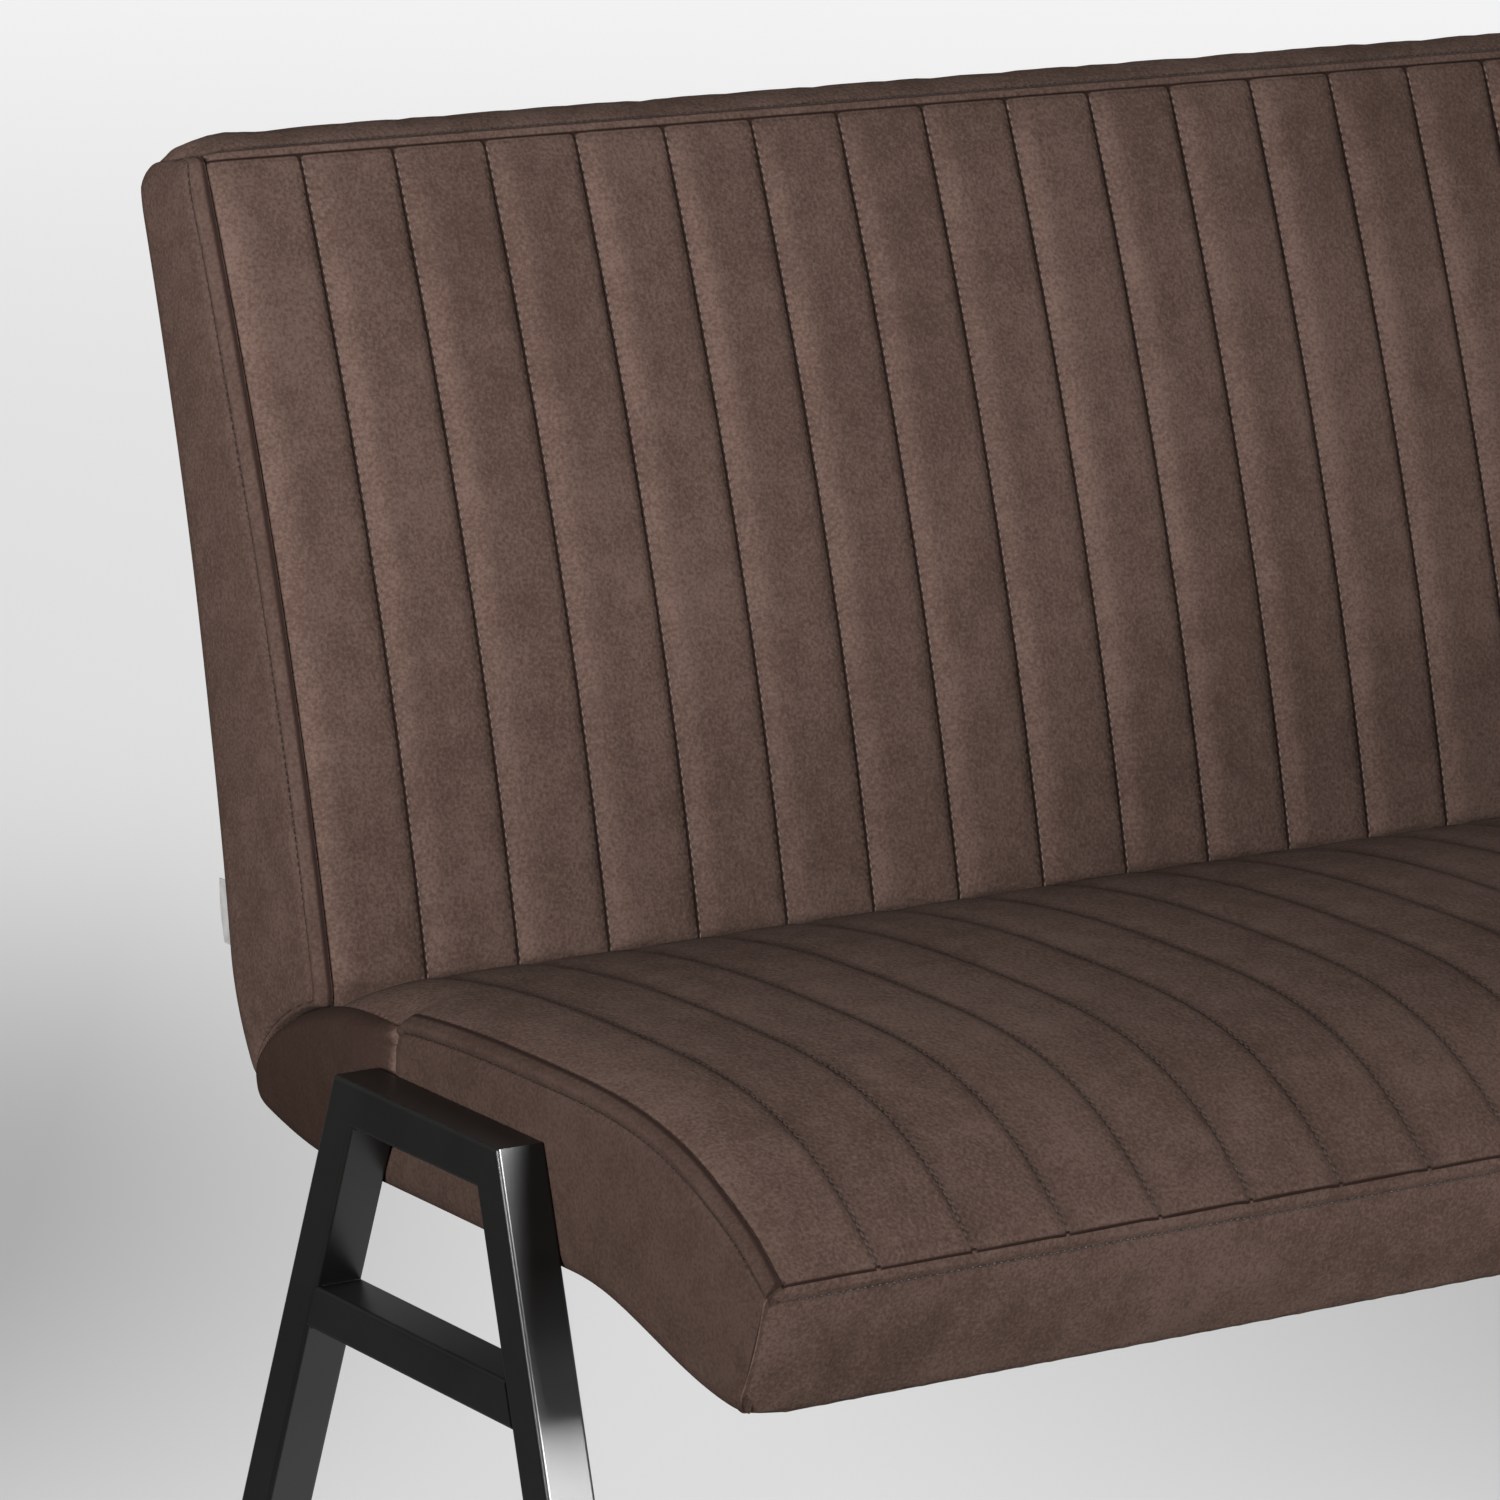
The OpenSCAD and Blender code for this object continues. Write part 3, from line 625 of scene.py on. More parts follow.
class Graph:
    """A node tree of a material, a shader group or a geometry tree, with short ways to fill it."""

    def __init__(self, tree: bpy.types.NodeTree) -> None:
        """Wraps the tree."""
        self.tree = tree

    def put(self, socket: bpy.types.NodeSocket, value: object) -> None:
        """Links a socket to another one, or sets its plain value."""
        if isinstance(value, bpy.types.NodeSocket):
            self.tree.links.new(value, socket)
        else:
            socket.default_value = value

    def fill(self, node: bpy.types.Node, **values: object) -> bpy.types.Node:
        """Fills a node's inputs, named with underscores for spaces, and returns the node."""
        for key, value in values.items():
            self.put(node.inputs[key.replace("_", " ")], value)
        return node

    def node(self, kind: str, settings: dict[str, object] | None = None, **values: object) -> bpy.types.Node:
        """Adds a node, sets its properties and fills its inputs."""
        made = self.tree.nodes.new(kind)
        for key, value in (settings or {}).items():
            setattr(made, key, value)
        return self.fill(made, **values)

    def math(self, operation: str, *values: object, clamp: bool = False) -> bpy.types.NodeSocket:
        """Adds a Math node and returns its result."""
        made = self.node("ShaderNodeMath", {"operation": operation, "use_clamp": clamp})
        for socket, value in zip(made.inputs, values):
            self.put(socket, value)
        return made.outputs[0]

    def plus(self, first: object, second: object) -> bpy.types.NodeSocket:
        """Adds two values."""
        return self.math("ADD", first, second)

    def minus(self, first: object, second: object) -> bpy.types.NodeSocket:
        """Takes the second value from the first."""
        return self.math("SUBTRACT", first, second)

    def times(self, first: object, second: object) -> bpy.types.NodeSocket:
        """Multiplies two values."""
        return self.math("MULTIPLY", first, second)

    def ramp(
        self, value: object, low: float, high: float, to_low: float = 0.0, to_high: float = 1.0
    ) -> bpy.types.NodeSocket:
        """Maps a value from one range to another, smoothly and within its ends."""
        ends = {"From_Min": low, "From_Max": high, "To_Min": to_low, "To_Max": to_high}
        made = self.node("ShaderNodeMapRange", {"interpolation_type": "SMOOTHSTEP"}, Value=value, **ends)
        return made.outputs["Result"]

    def mix(self, share: object, first: object, second: object) -> bpy.types.NodeSocket:
        """Mixes two colours and returns the result."""
        made = self.node("ShaderNodeMix", {"data_type": "RGBA"})
        for place, value in ((0, share), (6, first), (7, second)):
            self.put(made.inputs[place], value)
        return made.outputs[2]

    def noise(self, vector: object, scale: object, detail: float, rough: float) -> bpy.types.NodeSocket:
        """Adds a Noise Texture and returns its value."""
        made = self.node("ShaderNodeTexNoise", Vector=vector, Scale=scale, Detail=detail, Roughness=rough)
        return made.outputs["Fac"]

    def axes(self, vector: bpy.types.NodeSocket) -> list[bpy.types.NodeSocket]:
        """Splits a vector into its three parts."""
        return list(self.node("ShaderNodeSeparateXYZ", Vector=vector).outputs)


def shader_group(name: str, inputs: str, outputs: str) -> tuple[Graph, bpy.types.Node, bpy.types.Node]:
    """Starts a shader group.

    Args:
        name: name of the group.
        inputs: its inputs, split by commas; the first one is a vector and the others are numbers.
        outputs: its outputs, split by commas, all of them numbers.

    Returns:
        The graph, its input node and its output node.
    """
    tree = bpy.data.node_groups.new(name, "ShaderNodeTree")
    for place, key in enumerate(inputs.split(", ")):
        kind = "NodeSocketFloat" if place else "NodeSocketVector"
        tree.interface.new_socket(key, in_out="INPUT", socket_type=kind)
    for key in outputs.split(", "):
        tree.interface.new_socket(key, in_out="OUTPUT", socket_type="NodeSocketFloat")
    graph = Graph(tree)
    return graph, graph.node("NodeGroupInput"), graph.node("NodeGroupOutput")


def nap_group() -> bpy.types.NodeTree:
    """Short brushed pile: broad strokes where a hand has turned it, small clouds and a fine grain."""
    graph, start, end = shader_group(
        "brushed_nap", "Vector, Stroke Scale, Cloud Scale, Grain Scale", "Tone, Height"
    )
    vector = start.outputs["Vector"]
    pebble_scale, grain_height = 0.62, 0.6
    tone: object = 0.5
    for key, detail, rough, share in (
        ("Stroke Scale", 3.0, 0.5, 0.55),
        ("Cloud Scale", 5.0, 0.62, 0.72),
        ("Grain Scale", 2.0, 0.6, 1.35),
    ):
        layer = graph.noise(vector, start.outputs[key], detail, rough)
        tone = graph.plus(tone, graph.times(graph.minus(layer, 0.5), share))
    scale = graph.times(start.outputs["Grain Scale"], pebble_scale)
    pebble = graph.node("ShaderNodeTexVoronoi", {"feature": "SMOOTH_F1"}, Vector=vector, Scale=scale)
    height = graph.plus(graph.times(layer, grain_height), pebble.outputs["Distance"])
    graph.fill(end, Tone=tone, Height=height)
    return graph.tree


def seam_group() -> bpy.types.NodeTree:
    """Beside a seam: a mask for painted shade in its crease, and a pucker bump at each stitch."""
    graph, start, end = shader_group(
        "seam_crease", "Sewing, Crease Width, Pucker Reach, Stitch Pitch", "Crease, Height"
    )
    distance, along, pucker = graph.axes(start.outputs["Sewing"])
    crease = graph.math("DIVIDE", distance, start.outputs["Crease Width"])
    edge = graph.math("DIVIDE", distance, start.outputs["Pucker Reach"])
    edge = graph.ramp(edge, 0.2, 1.0, 1.0, 0.0)
    turn = graph.times(graph.math("DIVIDE", along, start.outputs["Stitch Pitch"]), 2 * math.pi)
    height = graph.times(graph.times(graph.math("COSINE", turn), edge), pucker)
    graph.fill(end, Crease=graph.ramp(crease, 0.35, 1.0, 1.0, 0.0), Height=height)
    return graph.tree


def grit_group() -> bpy.types.NodeTree:
    """Fine unevenness of a coated or plated metal surface."""
    graph, start, end = shader_group("coat_grit", "Vector, Scale, Base, Spread", "Roughness, Height")
    vector = start.outputs["Vector"]
    fine = graph.noise(vector, start.outputs["Scale"], 3.0, 0.5)
    broad = graph.noise(vector, 9.0, 4.0, 0.6)
    spread = graph.times(graph.minus(broad, 0.5), start.outputs["Spread"])
    graph.fill(end, Roughness=graph.plus(start.outputs["Base"], spread), Height=fine)
    return graph.tree


def weave_group() -> bpy.types.NodeTree:
    """Plain weave of crossing threads."""
    graph, start, end = shader_group("plain_weave", "Vector, Threads", "Tone, Height")
    flat_share, height_share, loose_share = 0.4, 0.3, 0.5
    waves = []
    for part in graph.axes(start.outputs["Vector"]):
        turn = graph.times(part, start.outputs["Threads"])
        waves.append(graph.math("ABSOLUTE", graph.math("SINE", turn)))
    height = graph.times(graph.plus(waves[0], waves[1]), graph.plus(waves[2], flat_share))
    loose = graph.times(graph.noise(start.outputs["Vector"], 220.0, 3.0, 0.6), loose_share)
    graph.fill(end, Tone=graph.math("MULTIPLY_ADD", height, height_share, loose), Height=height)
    return graph.tree


GROUPS = {"nap": nap_group(), "seam": seam_group(), "grit": grit_group(), "weave": weave_group()}


class Surface:
    """A material in the making, with its Principled shader and its object coordinates."""

    def __init__(self, name: str) -> None:
        """Starts the material."""
        self.material = bpy.data.materials.new(name)
        self.material.use_nodes = True
        self.material.node_tree.nodes.clear()
        self.graph = Graph(self.material.node_tree)
        self.shader = self.graph.node("ShaderNodeBsdfPrincipled")
        self.graph.node("ShaderNodeOutputMaterial", Surface=self.shader.outputs[0])
        self.place = self.graph.node("ShaderNodeTexCoord").outputs["Object"]

    def use(self, group: str, **values: object) -> bpy.types.NodeOutputs:
        """Places a shader group, fills its inputs and returns its outputs."""
        return self.graph.node("ShaderNodeGroup", {"node_tree": GROUPS[group]}, **values).outputs

    def attribute(self, name: str, output: str) -> bpy.types.NodeSocket:
        """Reads an attribute of the mesh."""
        return self.graph.node("ShaderNodeAttribute", {"attribute_name": name}).outputs[output]

    def dress(self, *layers: tuple[object, float, float], **values: object) -> bpy.types.Material:
        """Fills the shader's inputs and stacks bump layers into its normal.

        Args:
            layers: height, distance in metres and strength of each bump layer, the broadest first.
            values: the shader's inputs, named with underscores for spaces.

        Returns:
            The finished material.
        """
        self.graph.fill(self.shader, **values)
        below: dict[str, object] = {}
        for height, distance, strength in layers:
            layer = {"Height": height, "Distance": distance, "Strength": strength}
            below = {"Normal": self.graph.node("ShaderNodeBump", **layer, **below).outputs["Normal"]}
        self.graph.fill(self.shader, **below)
        return self.material


@dataclass(frozen=True)
class SuedeFinish:
    """Brown brushed microfibre."""

    name: str = "brown_suede"
    dark: Colour = (0.062, 0.039, 0.031, 1)
    light: Colour = (0.108, 0.072, 0.059, 1)
    # Painted shade colour, laid into the crease beside every seam.
    crease: Colour = (0.022, 0.013, 0.011, 1)
    # Painted shade colour, mixed in where the nap attribute paints shade.
    painted_shade_colour: Colour = (0.022, 0.013, 0.0105, 1)
    bloom: Colour = (0.85, 0.74, 0.68, 1)
    sheen: float = 0.01
    stroke_scale: float = 7.0
    cloud_scale: float = 42.0
    grain_scale: float = 520.0
    crease_shade_width: float = 0.0016
    pucker_reach: float = 0.0040

    def material(self) -> bpy.types.Material:
        """Builds the material."""
        made = Surface(self.name)
        mix, ramp = made.graph.mix, made.graph.ramp
        scales = {
            "Stroke_Scale": self.stroke_scale,
            "Cloud_Scale": self.cloud_scale,
            "Grain_Scale": self.grain_scale,
        }
        nap = made.use("nap", Vector=made.place, **scales)
        widths = {
            "Crease_Width": self.crease_shade_width,
            "Pucker_Reach": self.pucker_reach,
            "Stitch_Pitch": SEWING.stitch_pitch,
        }
        seam = made.use("seam", Sewing=made.attribute("sewing", "Vector"), **widths)
        cloth = mix(ramp(nap["Tone"], 0.15, 0.85), self.dark, self.light)
        # Painted shade: the nap attribute darkens the cloth towards the painted shade colour.
        cloth = mix(made.attribute("nap", "Fac"), cloth, self.painted_shade_colour)
        return made.dress(
            (seam["Height"], 0.0005, 0.7),
            (nap["Height"], 0.0006, 0.6),
            # Painted shade: beside each seam the cloth darkens to the crease colour.
            Base_Color=mix(seam["Crease"], cloth, self.crease),
            Roughness=ramp(nap["Tone"], 0.0, 1.0, 0.90, 0.74),
            Sheen_Weight=self.sheen,
            Sheen_Roughness=0.45,
            Sheen_Tint=self.bloom,
            Specular_IOR_Level=0.0,
        )


@dataclass(frozen=True)
class ThreadFinish:
    """Twisted polyester sewing thread, a shade off the cloth."""

    name: str
    light: Colour
    dark: Colour
    twist_scale: float = 1800.0

    def material(self) -> bpy.types.Material:
        """Builds the material."""
        made = Surface(self.name)
        twist = made.graph.noise(made.place, self.twist_scale, 2.0, 0.5)
        return made.dress(
            (twist, 0.0001, 0.5),
            Base_Color=made.graph.mix(twist, self.dark, self.light),
            Roughness=made.graph.ramp(twist, 0.0, 1.0, 0.62, 0.45),
            Specular_IOR_Level=0.1,
        )


@dataclass(frozen=True)
class PowderCoatFinish:
    """Black satin powder coat on steel."""

    name: str = "black_powder_coat"
    colour: Colour = (0.0034, 0.0032, 0.0030, 1)
    dusty: Colour = (0.0060, 0.0057, 0.0054, 1)
    gloss: float = 0.30

    def material(self) -> bpy.types.Material:
        """Builds the material."""
        made = Surface(self.name)
        grit = made.use("grit", Vector=made.place, Scale=1400.0, Base=0.34, Spread=0.10)
        haze = made.graph.ramp(made.graph.noise(made.place, 14.0, 4.0, 0.6), 0.35, 0.75)
        return made.dress(
            (grit["Height"], 0.00006, 0.35),
            Base_Color=made.graph.mix(haze, self.colour, self.dusty),
            Roughness=grit["Roughness"],
            Specular_IOR_Level=self.gloss,
        )


@dataclass(frozen=True)
class MetalFinish:
    """Plated steel of the fasteners."""

    name: str = "zinc_plate"
    colour: Colour = (0.50, 0.51, 0.52, 1)
    dull: Colour = (0.34, 0.35, 0.36, 1)

    def material(self) -> bpy.types.Material:
        """Builds the material."""
        made = Surface(self.name)
        grit = made.use("grit", Vector=made.place, Scale=600.0, Base=0.34, Spread=0.25)
        haze = made.graph.noise(made.place, 60.0, 3.0, 0.6)
        return made.dress(
            (grit["Height"], 0.00004, 0.4),
            Base_Color=made.graph.mix(haze, self.dull, self.colour),
            Metallic=1.0,
            Roughness=grit["Roughness"],
        )


@dataclass(frozen=True)
class WoodFinish:
    """Plywood or softwood of the inner frame."""

    name: str
    early: Colour
    late: Colour
    ring_scale: float

    def material(self) -> bpy.types.Material:
        """Builds the material."""
        made = Surface(self.name)
        bands = {"wave_type": "BANDS", "bands_direction": "Z"}
        sizes = {"Scale": self.ring_scale, "Distortion": 3.5, "Detail": 3.0}
        rings = made.graph.node("ShaderNodeTexWave", bands, Vector=made.place, **sizes).outputs["Fac"]
        return made.dress(
            (rings, 0.0002, 0.3),
            Base_Color=made.graph.mix(rings, self.early, self.late),
            Roughness=made.graph.ramp(rings, 0.0, 1.0, 0.75, 0.60),
        )


@dataclass(frozen=True)
class WovenFinish:
    """Woven or felted cloth that isn't suede: webbing, dust cover and the blank tab."""

    name: str
    dark: Colour
    light: Colour
    threads: float

    def material(self) -> bpy.types.Material:
        """Builds the material."""
        made = Surface(self.name)
        weave = made.use("weave", Vector=made.place, Threads=self.threads)
        tone = made.graph.ramp(weave["Tone"], 0.1, 0.9)
        colour = made.graph.mix(tone, self.dark, self.light)
        layer = (weave["Height"], 0.00025, 0.5)
        return made.dress(layer, Base_Color=colour, Roughness=0.85, Sheen_Weight=0.15)


@dataclass(frozen=True)
class PlasticFinish:
    """Moulded black plastic of the glides, scuffed a little."""

    name: str = "black_glide_plastic"
    colour: Colour = (0.012, 0.012, 0.012, 1)
    scuffed: Colour = (0.045, 0.044, 0.042, 1)

    def material(self) -> bpy.types.Material:
        """Builds the material."""
        made = Surface(self.name)
        scuffs = made.graph.noise(made.place, 260.0, 6.0, 0.7)
        return made.dress(
            (scuffs, 0.0001, 0.4),
            Base_Color=made.graph.mix(made.graph.ramp(scuffs, 0.55, 0.8), self.colour, self.scuffed),
            Roughness=made.graph.ramp(scuffs, 0.3, 0.8, 0.42, 0.7),
        )


@dataclass(frozen=True)
class FoamFinish:
    """Open-cell upholstery foam."""

    name: str = "seat_foam_cells"
    cell: Colour = (0.50, 0.46, 0.38, 1)
    wall: Colour = (0.74, 0.70, 0.60, 1)
    cell_scale: float = 900.0

    def material(self) -> bpy.types.Material:
        """Builds the material."""
        made = Surface(self.name)
        cells = made.graph.node("ShaderNodeTexVoronoi", Vector=made.place, Scale=self.cell_scale)
        gaps = cells.outputs["Distance"]
        colour = made.graph.mix(gaps, self.cell, self.wall)
        return made.dress((gaps, 0.0004, 0.7), Base_Color=colour, Roughness=0.95)


class Finishes:
    """Every material of the bench, built once."""

    def __init__(self) -> None:
        """Builds the materials."""
        self.suede = SuedeFinish().material()
        self.thread = ThreadFinish(
            "brown_thread", (0.145, 0.105, 0.088, 1), (0.062, 0.043, 0.036, 1)
        ).material()
        # Painted shade: a darker copy of the same thread, for the seat's stitches.
        self.painted_shade_seat_thread = ThreadFinish(
            "painted_shade_thread", (0.058, 0.040, 0.033, 1), (0.032, 0.021, 0.017, 1)
        ).material()
        self.topstitch = ThreadFinish(
            "dark_thread", (0.030, 0.020, 0.017, 1), (0.014, 0.009, 0.0075, 1)
        ).material()
        self.steel = PowderCoatFinish().material()
        self.zinc = MetalFinish().material()
        self.glide = PlasticFinish().material()
        self.foam = FoamFinish().material()
        self.plywood = WoodFinish(
            "birch_plywood", (0.62, 0.44, 0.26, 1), (0.50, 0.33, 0.18, 1), 40.0
        ).material()
        self.timber = WoodFinish(
            "pine_timber", (0.60, 0.39, 0.19, 1), (0.42, 0.23, 0.10, 1), 14.0
        ).material()
        self.webbing = WovenFinish(
            "elastic_webbing", (0.016, 0.016, 0.016, 1), (0.05, 0.048, 0.046, 1), 2600.0
        ).material()
        self.dust_cloth = WovenFinish(
            "dust_cloth", (0.012, 0.012, 0.012, 1), (0.032, 0.031, 0.030, 1), 5200.0
        ).material()
        self.tape = WovenFinish(
            "grey_tape", (0.20, 0.195, 0.19, 1), (0.36, 0.35, 0.34, 1), 7000.0
        ).material()


@dataclass
class StitchRow:
    """Stitches of one group of seams, laid along their lines by a node tree."""

    name: str
    seed: int
    pitch: float = SEWING.stitch_pitch
    length: float = SEWING.stitch_len
    width: float = SEWING.thread
    height: float = SEWING.thread
    lines: list[tuple[Array, Array]] = field(default_factory=list)

    def add(self, points: Array, normals: Array) -> None:
        """Adds a seam line and the cloth's normals along it."""
        self.lines.append((points, normals))

    def _path(self) -> bpy.types.Object:
        """Makes the seam lines as edges that know the cloth's normals."""
        mesh = line_mesh(self.name + "_path", [points for points, _ in self.lines])
        normals = np.concatenate([up for _, up in self.lines]).astype(np.float32)
        attribute = mesh.attributes.new("seam_normal", "FLOAT_VECTOR", "POINT")
        attribute.data.foreach_set("vector", normals.ravel())
        return linked(self.name, mesh)

    def sew(
        self, tree: bpy.types.NodeTree, material: bpy.types.Material, slot: str = "suede"
    ) -> bpy.types.Object:
        """Args:
            tree: the node tree that lays stitches.
            material: the thread or the wire.
            slot: not used.

        Returns:
            The finished object.
        """
        values = {
            "Pitch": self.pitch,
            "Length": self.length,
            "Width": self.width,
            "Height": self.height,
            "Seed": self.seed,
            "Material": material,
        }
        piece = baked(self._path(), tree, values)
        declare(piece)
        return piece


def topstitch_row(name: str, seed: int) -> StitchRow:
    """Starts a row of topstitches, which are heavier than the stitches in the channels."""
    return StitchRow(name, seed, pitch=0.0045, length=0.0033, width=0.0016, height=0.0013)


def baked(piece: bpy.types.Object, tree: bpy.types.NodeTree, values: dict[str, object]) -> bpy.types.Object:
    """Runs a node tree on an object and keeps the result as a plain mesh.

    Args:
        piece: the object that holds the starting mesh.
        tree: the geometry node tree.
        values: input values by socket name.

    Returns:
        The same object with its new mesh.
    """
    modifier = piece.modifiers.new("grow", "NODES")
    modifier.node_group = tree
    for item in tree.interface.items_tree:
        if item.item_type == "SOCKET" and item.in_out == "INPUT" and item.name in values:
            modifier[item.identifier] = values[item.name]
    mesh = bpy.data.meshes.new_from_object(piece.evaluated_get(bpy.context.evaluated_depsgraph_get()))
    piece.modifiers.clear()
    old, piece.data = piece.data, mesh
    bpy.data.meshes.remove(old)
    mesh.name = piece.name
    if signed_volume(mesh) < 0:
        mesh.flip_normals()
    return piece


def geometry_tree(name: str, inputs: dict[str, float | int | None]) -> tuple[Graph, bpy.types.Node]:
    """Starts a geometry node tree.

    Args:
        name: name of the tree.
        inputs: first value by input name, or None for a material.

    Returns:
        The graph and its input node.
    """
    tree = bpy.data.node_groups.new(name, "GeometryNodeTree")
    tree.interface.new_socket("Geometry", in_out="INPUT", socket_type="NodeSocketGeometry")
    kinds = {float: "NodeSocketFloat", int: "NodeSocketInt"}
    for key, value in inputs.items():
        kind = kinds.get(type(value), "NodeSocketMaterial")
        socket = tree.interface.new_socket(key, in_out="INPUT", socket_type=kind)
        if value is not None:
            socket.default_value = value
    tree.interface.new_socket("Geometry", in_out="OUTPUT", socket_type="NodeSocketGeometry")
    graph = Graph(tree)
    return graph, graph.node("NodeGroupInput")


def ended(graph: Graph, start: bpy.types.Node, shape: bpy.types.NodeSocket) -> bpy.types.NodeTree:
    """Ends a geometry node tree with plain geometry in the material that it is given.

    Args:
        graph: graph of the tree.
        start: its input node.
        shape: what the tree has made.

    Returns:
        The finished tree.
    """
    real = graph.node("GeometryNodeRealizeInstances", Geometry=shape).outputs["Geometry"]
    dressed = graph.node("GeometryNodeSetMaterial", Geometry=real, Material=start.outputs["Material"])
    graph.node("NodeGroupOutput", Geometry=dressed.outputs["Geometry"])
    return graph.tree


def curve_of(graph: Graph, start: bpy.types.Node, spacing: str | None = None) -> bpy.types.NodeSocket:
    """Turns the incoming lines into curves.

    Args:
        graph: graph of the tree.
        start: its input node.
        spacing: the input that holds the distance between their points, or None for the points as they are.

    Returns:
        The curves.
    """
    curve = graph.node("GeometryNodeMeshToCurve", Mesh=start.outputs["Geometry"]).outputs["Curve"]
    if spacing is None:
        return curve
    sizes = {"Curve": curve, "Length": start.outputs[spacing]}
    return graph.node("GeometryNodeResampleCurve", {"mode": "LENGTH"}, **sizes).outputs["Curve"]


def stitch_tree() -> bpy.types.NodeTree:
    """Lays a thread grain at every stitch of each line, turned along the line and up from the cloth."""
    graph, start = geometry_tree("sewn_stitches", {
        "Pitch": SEWING.stitch_pitch,
        "Length": SEWING.stitch_len,
        "Width": SEWING.thread,
        "Height": SEWING.thread,
        "Seed": 7,
        "Material": None,
    })
    node, given = graph.node, start.outputs
    points = curve_of(graph, start, "Pitch")
    grain = node("GeometryNodeMeshUVSphere", Segments=6, Rings=4, Radius=0.5)
    turned = node("GeometryNodeTransform", Geometry=grain.outputs["Mesh"], Rotation=(0, math.pi / 2, 0))
    size = node("ShaderNodeCombineXYZ", X=given["Length"], Y=given["Width"], Z=given["Height"])
    shaped = node("GeometryNodeTransform", Geometry=turned.outputs["Geometry"], Scale=size.outputs["Vector"])
    smoothed = node("GeometryNodeSetShadeSmooth", Geometry=shaped.outputs["Geometry"])
    tangent = node("GeometryNodeInputTangent").outputs["Tangent"]
    along = node("FunctionNodeAlignRotationToVector", {"axis": "X"}, Vector=tangent)
    normal = node("GeometryNodeInputNamedAttribute", {"data_type": "FLOAT_VECTOR"}, Name="seam_normal")
    upright = node(
        "FunctionNodeAlignRotationToVector",
        {"axis": "Z", "pivot_axis": "X"},
        Rotation=along.outputs["Rotation"],
        Vector=normal.outputs["Attribute"],
    )
    jitter = node(
        "FunctionNodeRandomValue",
        {"data_type": "FLOAT_VECTOR"},
        Min=(0.86, 0.9, 0.9),
        Max=(1.08, 1.1, 1.1),
        Seed=given["Seed"],
    )
    placed = node(
        "GeometryNodeInstanceOnPoints",
        Points=points,
        Instance=smoothed.outputs["Geometry"],
        Rotation=upright.outputs["Rotation"],
        Scale=jitter.outputs["Value"],
    )
    return ended(graph, start, placed.outputs["Instances"])


def webbing_tree() -> bpy.types.NodeTree:
    """Draws a flat strap of the given width and thickness along each line."""
    graph, start = geometry_tree("elastic_webbing", {"Width": 0.050, "Thickness": 0.002, "Material": None})
    level = graph.node("GeometryNodeSetCurveNormal", {"mode": "Z_UP"}, Curve=curve_of(graph, start))
    sizes = {"Width": start.outputs["Width"], "Height": start.outputs["Thickness"]}
    section = graph.node("GeometryNodeCurvePrimitiveQuadrilateral", **sizes).outputs["Curve"]
    ends = {"Profile_Curve": section, "Fill_Caps": True}
    strap = graph.node("GeometryNodeCurveToMesh", Curve=level.outputs["Curve"], **ends)
    return ended(graph, start, strap.outputs["Mesh"])


def bead_tree() -> bpy.types.NodeTree:
    """Draws a rippled weld bead of the given radius along each line."""
    sizes = {"Radius": 0.002, "Step": 0.0006, "Ripple": 0.12, "Ripple Length": 0.0024}
    graph, start = geometry_tree("weld_beads", {**sizes, "Material": None})
    spaced = curve_of(graph, start, "Step")
    length = graph.node("GeometryNodeSplineParameter").outputs["Length"]
    turns = graph.times(graph.math("DIVIDE", length, start.outputs["Ripple Length"]), 2 * math.pi)
    size = graph.math("MULTIPLY_ADD", graph.math("SINE", turns), start.outputs["Ripple"], 1.0)
    circle = graph.node("GeometryNodeCurvePrimitiveCircle", Resolution=8, Radius=start.outputs["Radius"])
    ends = {"Profile_Curve": circle.outputs["Curve"], "Fill_Caps": True}
    tube = graph.node("GeometryNodeCurveToMesh", Curve=spaced, Scale=size, **ends)
    smoothed = graph.node("GeometryNodeSetShadeSmooth", Geometry=tube.outputs["Mesh"])
    return ended(graph, start, smoothed.outputs["Geometry"])


